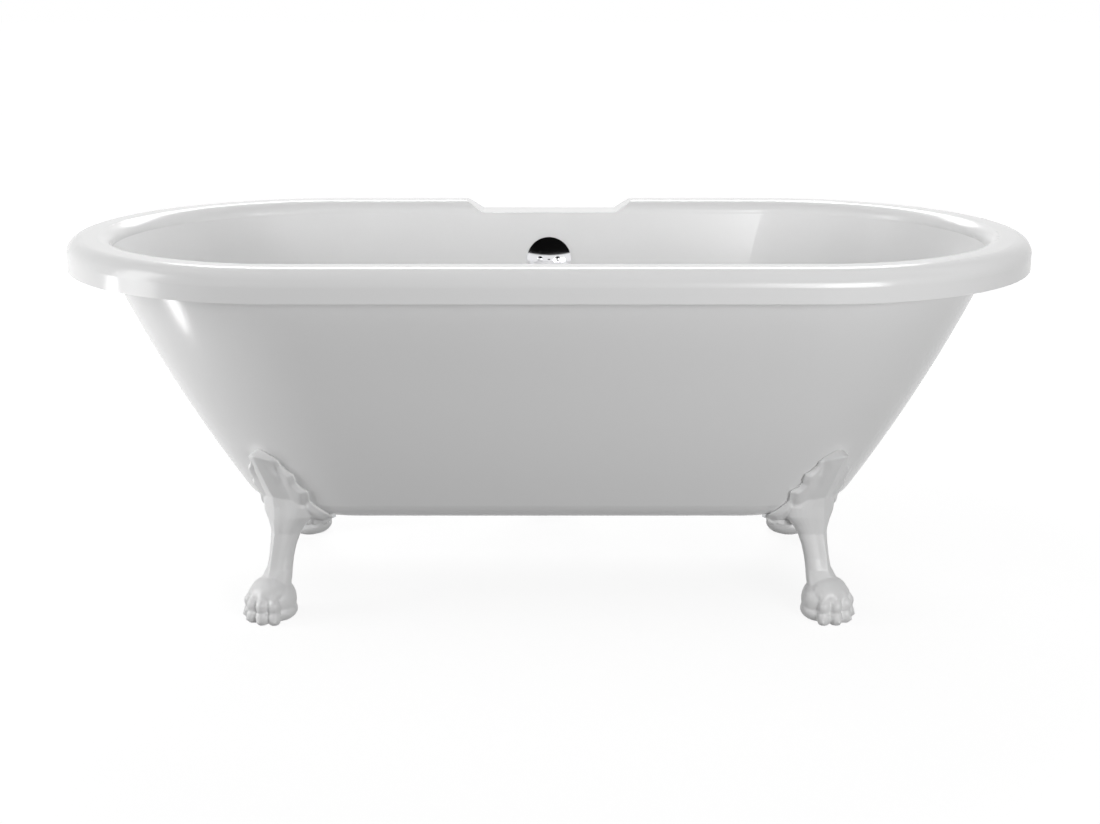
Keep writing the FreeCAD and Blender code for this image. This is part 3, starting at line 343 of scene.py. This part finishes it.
def lengthwise_group():
    """Long fibres of wood along X: a mask of dark grain and its relief."""
    inputs = {"Scale": 9.0, "Height": 0.0003}
    group, given, made = new_group("lengthwise", inputs, MASK_AND_NORMAL)
    where = place(group, "ShaderNodeTexCoord")
    laid = place(group, "ShaderNodeMapping", Scale=(0.6, 9.0, 9.0))
    grain = place(group, "ShaderNodeTexNoise", Detail=6.0, Roughness=0.65, Distortion=0.4)
    bump = place(group, "ShaderNodeBump")
    group.links.new(where.outputs["Object"], laid.inputs["Vector"])
    group.links.new(laid.outputs["Vector"], grain.inputs["Vector"])
    group.links.new(given.outputs["Scale"], grain.inputs["Scale"])
    group.links.new(grain.outputs["Fac"], bump.inputs["Height"])
    group.links.new(given.outputs["Height"], bump.inputs["Distance"])
    group.links.new(grain.outputs["Fac"], made.inputs["Mask"])
    group.links.new(bump.outputs["Normal"], made.inputs["Normal"])


def spangle_group():
    """Frosted crystals of plated zinc: a tone for each crystal."""
    group, given, made = new_group("spangle", {"Scale": 300.0}, {"Mask": "NodeSocketFloat"})
    where = place(group, "ShaderNodeTexCoord")
    cell = place(group, "ShaderNodeTexVoronoi")
    tone = place(group, "ShaderNodeSeparateColor")
    group.links.new(where.outputs["Object"], cell.inputs["Vector"])
    group.links.new(given.outputs["Scale"], cell.inputs["Scale"])
    group.links.new(cell.outputs["Color"], tone.inputs["Color"])
    group.links.new(tone.outputs["Red"], made.inputs["Mask"])


def build_groups():
    """Makes every shared group once; the materials find them by name."""
    relief_group("waves", {"Detail": 1.0, "Roughness": 0.4})
    relief_group("casting", {"Detail": 6.0, "Roughness": 0.7})
    wiped_group()
    strands_group()
    lengthwise_group()
    spangle_group()


def add_group(tree, name, **values):
    """Places a shared group in a material with its own values."""
    node = tree.nodes.new("ShaderNodeGroup")
    node.node_tree = bpy.data.node_groups[name]
    for label, value in values.items():
        node.inputs[label].default_value = value
    return node


def wipe(tree, shader, scale, smooth, dull):
    """Lets the roughness drift from smooth to dull."""
    wiped = add_group(tree, "wiped", Scale=scale, Smooth=smooth, Dull=dull)
    tree.links.new(wiped.outputs["Roughness"], shader.inputs["Roughness"])


def shape_surface(tree, shader, name, scale, height):
    """Gives the surface the relief of that group; returns the group's node."""
    relief = add_group(tree, name, Scale=scale, Height=height)
    tree.links.new(relief.outputs["Normal"], shader.inputs["Normal"])
    return relief


def two_tones(tree, shader, mask, dark, light):
    """Base colour that goes from dark to light with a mask."""
    tones = place(tree, "ShaderNodeMix", data_type="RGBA")
    tones.inputs[MIX_DARK].default_value = (*dark, 1)
    tones.inputs[MIX_LIGHT].default_value = (*light, 1)
    tree.links.new(mask, tones.inputs[MIX_FACTOR])
    tree.links.new(tones.outputs[MIX_RESULT], shader.inputs["Base Color"])


def acrylic(settings):
    """Thermoformed acrylic: deep gloss, with the faint long waves of a drawn sheet."""
    material, tree, shader = new_material("white_acrylic")
    shader.inputs["Base Color"].default_value = (*settings.acrylic_colour, 1)
    shader.inputs["IOR"].default_value = 1.49
    shader.inputs["Coat Weight"].default_value = 0.5
    shader.inputs["Coat Roughness"].default_value = 0.02
    rough = settings.acrylic_roughness
    wipe(tree, shader, scale=3.0, smooth=rough * 0.6, dull=rough * 1.4)
    shape_surface(tree, shader, "waves", scale=5.0, height=0.0006)
    return material


def fibre(settings):
    """Rough glass-fibre laminate with its chopped strands."""
    material, tree, shader = new_material("glass_laminate")
    relief = shape_surface(tree, shader, "strands", scale=60.0, height=0.0006)
    two_tones(tree, shader, relief.outputs["Mask"], dark=(0.42, 0.41, 0.32), light=(0.66, 0.65, 0.56))
    wipe(tree, shader, scale=12.0, smooth=0.45, dull=0.7)
    return material


def board(settings):
    """Raw board with its grain along the bath."""
    material, tree, shader = new_material("raw_board")
    relief = shape_surface(tree, shader, "lengthwise", scale=9.0, height=0.0003)
    two_tones(tree, shader, relief.outputs["Mask"], dark=(0.28, 0.17, 0.09), light=(0.56, 0.42, 0.26))
    wipe(tree, shader, scale=8.0, smooth=0.65, dull=0.85)
    return material


def enamel(settings):
    """Satin enamel sprayed on a casting, soft over its grain."""
    material, tree, shader = new_material("foot_enamel")
    shader.inputs["Base Color"].default_value = (*settings.enamel_colour, 1)
    shader.inputs["Coat Weight"].default_value = 0.15
    shader.inputs["Coat Roughness"].default_value = 0.2
    rough = settings.enamel_roughness
    wipe(tree, shader, scale=22.0, smooth=rough * 0.8, dull=rough * 1.2)
    shape_surface(tree, shader, "casting", scale=320.0, height=0.00025)
    return material


def rubber(settings):
    """Black rubber with a dull bloom."""
    material, tree, shader = new_material("black_rubber")
    shader.inputs["Base Color"].default_value = (0.035, 0.035, 0.037, 1)
    wipe(tree, shader, scale=40.0, smooth=0.6, dull=0.85)
    shape_surface(tree, shader, "casting", scale=900.0, height=0.0001)
    return material


def zinc(settings):
    """Bright zinc plate on steel, crystal by crystal."""
    material, tree, shader = new_material("zinc_plate")
    shader.inputs["Metallic"].default_value = 1
    spangle = add_group(tree, "spangle", Scale=260.0)
    two_tones(tree, shader, spangle.outputs["Mask"], dark=(0.48, 0.5, 0.53), light=(0.68, 0.7, 0.71))
    wipe(tree, shader, scale=30.0, smooth=0.25, dull=0.42)
    return material


def brass(settings):
    """Turned brass, lightly marked."""
    material, tree, shader = new_material("turned_brass")
    shader.inputs["Base Color"].default_value = (0.78, 0.56, 0.24, 1)
    shader.inputs["Metallic"].default_value = 1
    wipe(tree, shader, scale=60.0, smooth=0.16, dull=0.34)
    shape_surface(tree, shader, "casting", scale=1400.0, height=0.00004)
    return material


def chrome(settings):
    """Polished chrome with the breath of a polishing cloth."""
    material, tree, shader = new_material("polished_chrome")
    shader.inputs["Base Color"].default_value = (*settings.chrome_colour, 1)
    shader.inputs["Metallic"].default_value = 1
    wipe(tree, shader, scale=30.0, smooth=0.02, dull=0.07)
    shape_surface(tree, shader, "waves", scale=40.0, height=0.00006)
    return material


# Makes the finish of a material slot that the frame brings no material for
FINISHES = {
    "acrylic": acrylic, "fibre": fibre, "board": board,
    "rubber": rubber, "zinc": zinc, "brass": brass, "chrome": chrome,
}


def dress(context, slots):
    """Gives each slot's nodes the frame's material of that name, or one made here if there is none."""
    for slot in slots:
        material = bpy.data.materials.get(slot) or FINISHES[slot](context.scene.bath_finish)
        for part in frame["record"]["subparts"]:
            if part["material_slot"] == slot:
                mesh = frame["nodes"][part["node"]].data
                mesh.materials.clear()
                mesh.materials.append(material)


class DRESS_OT_shell(bpy.types.Operator):
    """Finish the basin, its laminate, its boards and the outer skin"""

    bl_idname = "bath.dress_shell"
    bl_label = "Finish the shell"

    def execute(self, context):
        build_groups()
        dress(context, ("acrylic", "fibre", "board"))
        return {"FINISHED"}


class DRESS_OT_fittings(bpy.types.Operator):
    """Finish the drain, the overflow, the pipes, the seals and the fasteners"""

    bl_idname = "bath.dress_fittings"
    bl_label = "Finish the fittings"

    def execute(self, context):
        dress(context, ("chrome", "brass", "zinc", "rubber"))
        return {"FINISHED"}


# ---------------------------------------------------------------- claw feet
def ring(bm, place_at, depth, width, ridge=0.0, segments=32):
    """A level ring of a leg, with its front drawn out to a ridge; returns its vertices."""
    made = bmesh.ops.create_circle(bm, segments=segments, radius=1)["verts"]
    shape = Matrix.Translation(place_at) @ Matrix.Diagonal((depth / 2, width / 2, 1, 1))
    bmesh.ops.transform(bm, matrix=shape, verts=made)
    for vertex in made:
        off_front = abs(vertex.co.y - place_at[1]) / (width / 2)
        if vertex.co.x > place_at[0]:
            vertex.co.x += ridge * max(0.0, 1 - RIDGE_FALL * off_front)
    return made


def skin_between(bm, rings):
    """Bridges each ring to the next and closes both ends."""
    edges = [list({e for v in loop for e in v.link_edges}) for loop in rings]
    for low, high in zip(edges, edges[1:]):
        bmesh.ops.bridge_loops(bm, edges=low + high)
    for loop in (rings[0], rings[-1]):
        rim = [e for e in bm.edges if e.is_boundary and e.verts[0] in loop]
        bmesh.ops.contextual_create(bm, geom=rim)


def leg_form(bm, foot):
    """Column between paw and shield, carried up the shield as a tapering rib."""
    top = UNDERSIDE
    # reach, height, depth, width and ridge of each ring, from the paw up
    stations = [
        (foot.paw_reach - 0.004, 0.024, 0.056, 0.060, 0),
        (foot.paw_reach - 0.006, 0.050, 0.052, 0.056, 0.001),
        (foot.ankle_reach + 0.008, 0.064, 0.044, 0.050, 0.003),
        (foot.ankle_reach + 0.001, 0.078, 0.037, 0.043, 0.005),
        (foot.ankle_reach - 0.004, 0.096, 0.035, 0.042, 0.0065),
        (foot.ankle_reach - 0.009, 0.114, 0.036, 0.045, 0.0065),
        (foot.knee_reach + 0.001, 0.134, 0.040, 0.053, 0.0065),
        (foot.knee_reach - 0.004, top - 0.010, 0.050, 0.070, 0.006),
        (foot.knee_reach - 0.008, top + 0.004, 0.057, 0.094, 0.006),
        (foot.knee_reach - 0.010, top + 0.020, 0.060, 0.100, 0.006),
        (foot.knee_reach - 0.003, top + 0.042, 0.052, 0.066, 0.006),
        (foot.knee_reach + 0.008, top + 0.066, 0.043, 0.034, 0.006),
        (foot.knee_reach + 0.020, top + 0.092, 0.034, 0.018, 0.005),
    ]
    skin_between(bm, [ring(bm, (reach, 0, z), d, w, r) for reach, z, d, w, r in stations])


def egg(bm, place_at, radii, pitch=0.0, turn=0.0):
    """A smooth egg with those radii, tipped by pitch and turned about Z."""
    shape = Matrix.Translation(place_at) @ Matrix.Rotation(turn, 4, "Z") @ Matrix.Rotation(pitch, 4, "Y")
    shape = shape @ Matrix.Diagonal((*radii, 1))
    bmesh.ops.create_icosphere(bm, subdivisions=4, radius=1, matrix=shape)


def claw(bm, root, turn, length, radius):
    """A blunt claw curling down to the floor."""
    base = Matrix.Translation(root) @ Matrix.Rotation(turn, 4, "Z")
    rings = []
    for i in range(CLAW_STEPS):
        share = i / (CLAW_STEPS - 1)
        bend = share * CLAW_CURL
        reach = length * math.sin(bend)
        drop = length * (1 - math.cos(bend)) * CLAW_DROOP
        thick = radius * (1 - share) ** CLAW_TAPER + CLAW_TIP
        made = bmesh.ops.create_circle(bm, segments=16, radius=thick)["verts"]
        tilt = Matrix.Rotation(math.pi / 2 + bend, 4, "Y")
        where = base @ Matrix.Translation((reach, 0, -drop))
        bmesh.ops.transform(bm, matrix=where @ tilt, verts=made)
        rings.append(made)
    skin_between(bm, rings)


def paw_form(bm, foot):
    """Lion's paw: heel, instep, and a fan of toes, each with a knuckle, a tip and a short claw."""
    for reach, height, radii, pitch in PAW_FORMS:
        egg(bm, (foot.paw_reach + reach, 0, height), radii, pitch)
    root = Vector((foot.paw_reach - TOE_ROOT, 0, 0))
    for i in range(foot.toe_count):
        fan = (i - (foot.toe_count - 1) / 2) * foot.toe_fan
        way = Vector((math.cos(fan), math.sin(fan), 0))
        for reach, height, radii, pitch in TOE_FORMS:
            egg(bm, root + way * reach + Vector((0, 0, height)), radii, pitch, fan)
        claw_root = root + way * CLAW_REACH + Vector((0, 0, CLAW_HEIGHT))
        claw(bm, claw_root, fan, CLAW_LENGTH, CLAW_RADIUS)


def smooth_step(x):
    """0 below 0, 1 above 1, smooth between."""
    x = min(1.0, max(0.0, x))
    return x * x * (3 - 2 * x)


def shield_half_width(share):
    """Half the leaf's width at a share of its rise: wings below, then pointed lobes up to the peak."""
    for (low, wide), (high, narrow) in zip(LEAF_OUTLINE, LEAF_OUTLINE[1:]):
        if share <= high:
            return wide + (narrow - wide) * (share - low) / (high - low)
    return LEAF_OUTLINE[-1][1]


def shield_relief(across, rise, half):
    """How far the leaf stands off the bath: a folded middle, and lobes that fan out from its foot."""
    inside = smooth_step((1 - abs(across) / half) / LEAF_HEM)
    fold = FOLD_HEIGHT * max(0.0, 1 - abs(across) / FOLD_HALF_WIDTH)
    fan = math.atan2(rise + LOBES_DROP, abs(across)) / (math.pi / 2)
    groove = (1 - abs(math.sin(math.pi * LOBES * (fan - LOBES_TURN)))) ** 2
    outer = smooth_step((abs(across) / half - GROOVE_FROM) / GROOVE_OVER)
    return LEAF_EDGE + (LEAF_SWELL + fold - GROOVE_DEPTH * groove * outer) * inside


def shield_form(bm, foot, wall):
    """Leaf-shaped plate laid on the bath's wall by casting rays at it."""
    tall = foot.shield_rise + foot.shield_drop
    columns, rows = LEAF_GRID
    made = bmesh.ops.create_grid(bm, x_segments=columns, y_segments=rows, size=1)["verts"]
    outer = set(made)
    outside = [f for f in bm.faces if f.verts[0] in outer]
    copies = bmesh.ops.extrude_face_region(bm, geom=outside)["geom"]
    inner = {v for v in copies if isinstance(v, bmesh.types.BMVert)}
    for vertex in (*outer, *inner):
        share = (vertex.co.y + 1) / 2
        half = shield_half_width(share)
        across = vertex.co.x * half
        rise = share * tall - foot.shield_drop
        start = Vector((RAY_START, across, UNDERSIDE + max(rise, LEAF_LOW)))
        hit, normal, _, _ = wall.ray_cast(start, Vector((-1, 0, 0)))
        if hit is None:
            raise ValueError("the shield's ray missed the bath's wall")
        stand = LEAF_BACK if vertex in inner else shield_relief(across, rise, half)
        drop = Vector((0, 0, min(0.0, rise - LEAF_LOW)))
        vertex.co = hit + normal * stand + drop


def lug_form(bm, foot):
    """Thin web under the bath, with a boss round each bolt."""
    made = bmesh.ops.create_cube(bm, size=1)["verts"]
    inward = BOLT_REACH - WEB_PAST_BOLTS
    middle = (inward + foot.knee_reach) / 2
    shape = Matrix.Translation((middle, 0, UNDERSIDE - WEB_DROP))
    shape = shape @ Matrix.Diagonal((foot.knee_reach - inward, 2 * BOLT_ACROSS, WEB_THICK, 1))
    bmesh.ops.transform(bm, matrix=shape, verts=made)
    edges = list({e for v in made for e in v.link_edges})
    bmesh.ops.bevel(
        bm, geom=edges, offset=WEB_ROUND, affect="EDGES", segments=2, profile=0.5, material=-1
    )
    for side in (1, -1):
        boss = Matrix.Translation((BOLT_REACH, side * BOLT_ACROSS, UNDERSIDE - BOSS_DROP))
        bmesh.ops.create_cone(
            bm, cap_ends=True, segments=32, radius1=BOSS_RADIUS_LOW, radius2=BOSS_RADIUS_HIGH,
            depth=BOSS_HEIGHT, matrix=boss
        )


def foot_frame(foot):
    """Turns and moves a foot from its own axes to the near right corner."""
    return Matrix.Translation((foot.centre, 0, 0)) @ Matrix.Rotation(-foot.angle, 4, "Z")


def wall_in_foot(foot):
    """The outer skin's surface, seen from the foot's own axes."""
    bm = bmesh.new()
    bm.from_mesh(frame["nodes"]["outer_skin"].data)
    bmesh.ops.transform(bm, matrix=foot_frame(foot).inverted(), verts=bm.verts)
    tree = BVHTree.FromBMesh(bm)
    bm.free()
    return tree


def seat_on_wall(mesh, wall):
    """Draws whatever of a casting would reach into the bath back to the bath's outer face."""
    bm = bmesh.new()
    bm.from_mesh(mesh)
    for vertex in bm.verts:
        if vertex.co.z > UNDERSIDE - SEAT_GAP:
            height = max(vertex.co.z, UNDERSIDE + SEAT_GAP)
            start = Vector((RAY_START, vertex.co.y, height))
            hit, _, _, _ = wall.ray_cast(start, Vector((-1, 0, 0)))
            if hit is not None:
                vertex.co.x = max(vertex.co.x, hit.x + SEAT_GAP)
    bm.to_mesh(mesh)
    bm.free()


def cast(source, grain, name):
    """Fuses a loose heap of forms into one smooth casting."""
    holder = bpy.data.objects.new(name, source)
    bpy.context.collection.objects.link(holder)
    fuse = holder.modifiers.new("fuse", "REMESH")
    fuse.mode = "VOXEL"
    fuse.voxel_size = grain
    soften = holder.modifiers.new("soften", "SMOOTH")
    soften.factor = 0.5
    soften.iterations = 5
    evaluated = holder.evaluated_get(bpy.context.evaluated_depsgraph_get())
    made = bpy.data.meshes.new_from_object(evaluated)
    bpy.data.objects.remove(holder)
    return made


def set_foot(casting, finish, foot, node, x, y):
    """Sets the casting under the corner at that side in X and Y, cut level with the node's sole."""
    bm = bmesh.new()
    bm.from_mesh(casting)
    corner = Matrix.Diagonal((x, -y, 1, 1)) @ foot_frame(foot)
    bmesh.ops.transform(bm, matrix=corner, verts=bm.verts)
    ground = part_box(node)[0][2]
    bmesh.ops.bisect_plane(
        bm, geom=bm.verts[:] + bm.edges[:] + bm.faces[:],
        plane_co=(0, 0, ground), plane_no=(0, 0, -1), clear_outer=True
    )
    bmesh.ops.holes_fill(bm, edges=[e for e in bm.edges if e.is_boundary])
    bmesh.ops.recalc_face_normals(bm, faces=bm.faces)
    for face in bm.faces:
        face.smooth = True
    mesh = bpy.data.meshes.new(f"{node}_casting")
    bm.to_mesh(mesh)
    bm.free()
    mesh.materials.append(finish)
    piece = bpy.data.objects.new(f"{node}_casting", mesh)
    bpy.context.collection.objects.link(piece)
    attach(piece, BODY)
    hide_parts(node)


class DRESS_OT_feet(bpy.types.Operator):
    """Model one claw foot and set it under each corner"""

    bl_idname = "bath.dress_feet"
    bl_label = "Model the feet"

    def execute(self, context):
        foot = context.scene.bath_foot
        bm = bmesh.new()
        leg_form(bm, foot)
        paw_form(bm, foot)
        wall = wall_in_foot(foot)
        shield_form(bm, foot, wall)
        lug_form(bm, foot)
        bmesh.ops.recalc_face_normals(bm, faces=bm.faces)
        heap = bpy.data.meshes.new("foot_heap")
        bm.to_mesh(heap)
        bm.free()
        casting = cast(heap, foot.grain, "foot_casting")
        seat_on_wall(casting, wall)
        finish = enamel(context.scene.bath_finish)
        for side, y in SIDES.items():
            for corner, x in CORNERS.items():
                set_foot(casting, finish, foot, f"foot_{side}_{corner}", x, y)
        return {"FINISHED"}


# ---------------------------------------------------------------- studio
def area_lamp(name, size, place_at, target, power, mirrored):
    """Hangs a rectangular lamp turned to its target; mirrored tells whether gloss shows it."""
    lamp = bpy.data.lights.new(name, "AREA")
    lamp.shape = "RECTANGLE"
    lamp.size, lamp.size_y = size
    lamp.energy = power
    holder = bpy.data.objects.new(name, lamp)
    holder.location = place_at
    holder.rotation_euler = (Vector(target) - Vector(place_at)).to_track_quat("-Z", "Y").to_euler()
    bpy.context.collection.objects.link(holder)
    holder.visible_glossy = mirrored


def looked_at(tree):
    """1 for what the camera, metal or glass looks at and 0 for light on a surface; and the path node."""
    path = place(tree, "ShaderNodeLightPath")
    total = path.outputs["Is Camera Ray"]
    for ray in ("Is Glossy Ray", "Is Transmission Ray"):
        most = place(tree, "ShaderNodeMath", operation="MAXIMUM")
        tree.links.new(total, most.inputs[0])
        tree.links.new(path.outputs[ray], most.inputs[1])
        total = most.outputs["Value"]
    return total, path


def step_node(tree, value, low, high):
    """1 above high, 0 below low, smooth between."""
    node = place(tree, "ShaderNodeMapRange", interpolation_type="SMOOTHSTEP")
    node.inputs["From Min"].default_value = low
    node.inputs["From Max"].default_value = high
    tree.links.new(value, node.inputs["Value"])
    return node.outputs["Result"]


def product(tree, values):
    """The product of those sockets' values."""
    total = values[0]
    for value in values[1:]:
        times = place(tree, "ShaderNodeMath", operation="MULTIPLY")
        tree.links.new(total, times.inputs[0])
        tree.links.new(value, times.inputs[1])
        total = times.outputs["Value"]
    return total


def make_room(scene, sky):
    """White room; gloss also sees the dark gap between the lamps above the camera."""
    world = bpy.data.worlds.new("studio")
    world.use_nodes = True
    scene.world = world
    tree = world.node_tree
    background = tree.nodes["Background"]
    background.inputs["Color"].default_value = (1, 1, 1, 1)
    seen, path = looked_at(tree)
    level = place(tree, "ShaderNodeMapRange")
    level.inputs["To Min"].default_value = sky
    tree.links.new(seen, level.inputs["Value"])
    where = place(tree, "ShaderNodeTexCoord")
    axes = place(tree, "ShaderNodeSeparateXYZ")
    tree.links.new(where.outputs["Generated"], axes.inputs["Vector"])
    front = place(tree, "ShaderNodeMath", operation="MULTIPLY")
    front.inputs[1].default_value = -1
    tree.links.new(axes.outputs["Y"], front.inputs[0])
    above = step_node(tree, axes.outputs["Z"], GAP_LOW - GAP_BLUR, GAP_LOW + GAP_BLUR)
    ahead = step_node(tree, front.outputs["Value"], *GAP_AHEAD)
    gap = product(tree, [above, ahead, path.outputs["Is Glossy Ray"]])
    darken = place(tree, "ShaderNodeMapRange")
    darken.inputs["To Min"].default_value = 1
    darken.inputs["To Max"].default_value = GAP_LIGHT
    tree.links.new(gap, darken.inputs["Value"])
    strength = product(tree, [level.outputs["Result"], darken.outputs["Result"]])
    tree.links.new(strength, background.inputs["Strength"])


def make_floor(settings):
    """Floor that keeps the bath's shadow and pales to white around it."""
    mesh = bpy.data.meshes.new("floor")
    bm = bmesh.new()
    bmesh.ops.create_grid(bm, x_segments=1, y_segments=1, size=FLOOR_HALF)
    bm.to_mesh(mesh)
    bm.free()
    floor = bpy.data.objects.new("floor", mesh)
    bpy.context.collection.objects.link(floor)
    material, tree, shader = new_material("floor_white")
    shader.inputs["Base Color"].default_value = (*settings.floor_colour, 1)
    shader.inputs["Roughness"].default_value = 0.9
    shader.inputs["Specular IOR Level"].default_value = 0
    shader.inputs["Emission Color"].default_value = (1, 1, 1, 1)
    seen, _ = looked_at(tree)
    where = place(tree, "ShaderNodeTexCoord")
    away = place(tree, "ShaderNodeVectorMath", operation="LENGTH")
    glow = place(tree, "ShaderNodeMapRange")
    glow.inputs["From Min"].default_value = GLOW_NEAR
    glow.inputs["From Max"].default_value = GLOW_FAR
    glow.inputs["To Min"].default_value = settings.floor_glow
    tree.links.new(where.outputs["Object"], away.inputs[0])
    tree.links.new(away.outputs["Value"], glow.inputs["Value"])
    strength = product(tree, [seen, glow.outputs["Result"]])
    tree.links.new(strength, shader.inputs["Emission Strength"])
    mesh.materials.append(material)


def set_camera(scene, settings):
    """Camera with the photograph's lens and angle, in front of the bath's middle."""
    camera = bpy.data.cameras.new("camera")
    camera.sensor_width = SENSOR_WIDTH
    camera.lens = PHOTO_FOCAL / PHOTO_SIZE[0] * SENSOR_WIDTH
    camera.shift_x = (PHOTO_SIZE[0] / 2 - PHOTO_CENTRE[0]) / PHOTO_SIZE[0]
    camera.shift_y = (PHOTO_CENTRE[1] - PHOTO_SIZE[1] / 2) / PHOTO_SIZE[0]
    holder = bpy.data.objects.new("camera", camera)
    holder.location = (0, -settings.camera_distance, RIM_TOP + settings.camera_rise)
    holder.rotation_euler = (math.pi / 2 - settings.camera_pitch, 0, 0)
    bpy.context.collection.objects.link(holder)
    scene.camera = holder


class STAGE_OT_studio(bpy.types.Operator):
    """Lay the white floor, hang the lamps and set up the camera"""

    bl_idname = "bath.stage"
    bl_label = "Set the stage"

    def execute(self, context):
        settings = context.scene.bath_studio
        scene = context.scene
        scene.view_settings.view_transform = "Standard"
        set_camera(scene, settings)
        for name, (size, place_at, target, mirrored) in LAMPS.items():
            power = getattr(settings, f"{name}_power")
            area_lamp(f"{name}_lamp", size, place_at, target, power, mirrored)
        make_floor(settings)
        make_room(scene, settings.sky)
        return {"FINISHED"}


class VIEW3D_PT_bath(bpy.types.Panel):
    """Lists the bath's steps in the sidebar"""

    bl_label = "Bath"
    bl_idname = "VIEW3D_PT_bath"
    bl_space_type = "VIEW_3D"
    bl_region_type = "UI"
    bl_category = "Bath"

    def draw(self, context):
        for operator in OPERATORS:
            self.layout.operator(operator.bl_idname)


OPERATORS = (DRESS_OT_shell, DRESS_OT_fittings, DRESS_OT_feet, STAGE_OT_studio)
CLASSES = (BathFinish, FootShape, StudioSettings, *OPERATORS, VIEW3D_PT_bath)


def register():
    """Registers the classes and hangs the settings on the scene."""
    for cls in CLASSES:
        bpy.utils.register_class(cls)
    bpy.types.Scene.bath_finish = PointerProperty(type=BathFinish)
    bpy.types.Scene.bath_foot = PointerProperty(type=FootShape)
    bpy.types.Scene.bath_studio = PointerProperty(type=StudioSettings)


def unregister():
    """Takes the settings and the classes away again."""
    del bpy.types.Scene.bath_studio
    del bpy.types.Scene.bath_foot
    del bpy.types.Scene.bath_finish
    for cls in reversed(CLASSES):
        bpy.utils.unregister_class(cls)


def main():
    """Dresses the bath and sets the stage."""
    register()
    bpy.ops.bath.dress_shell()
    bpy.ops.bath.dress_fittings()
    bpy.ops.bath.dress_feet()
    bpy.ops.bath.stage()


if __name__ == "__main__":
    main()
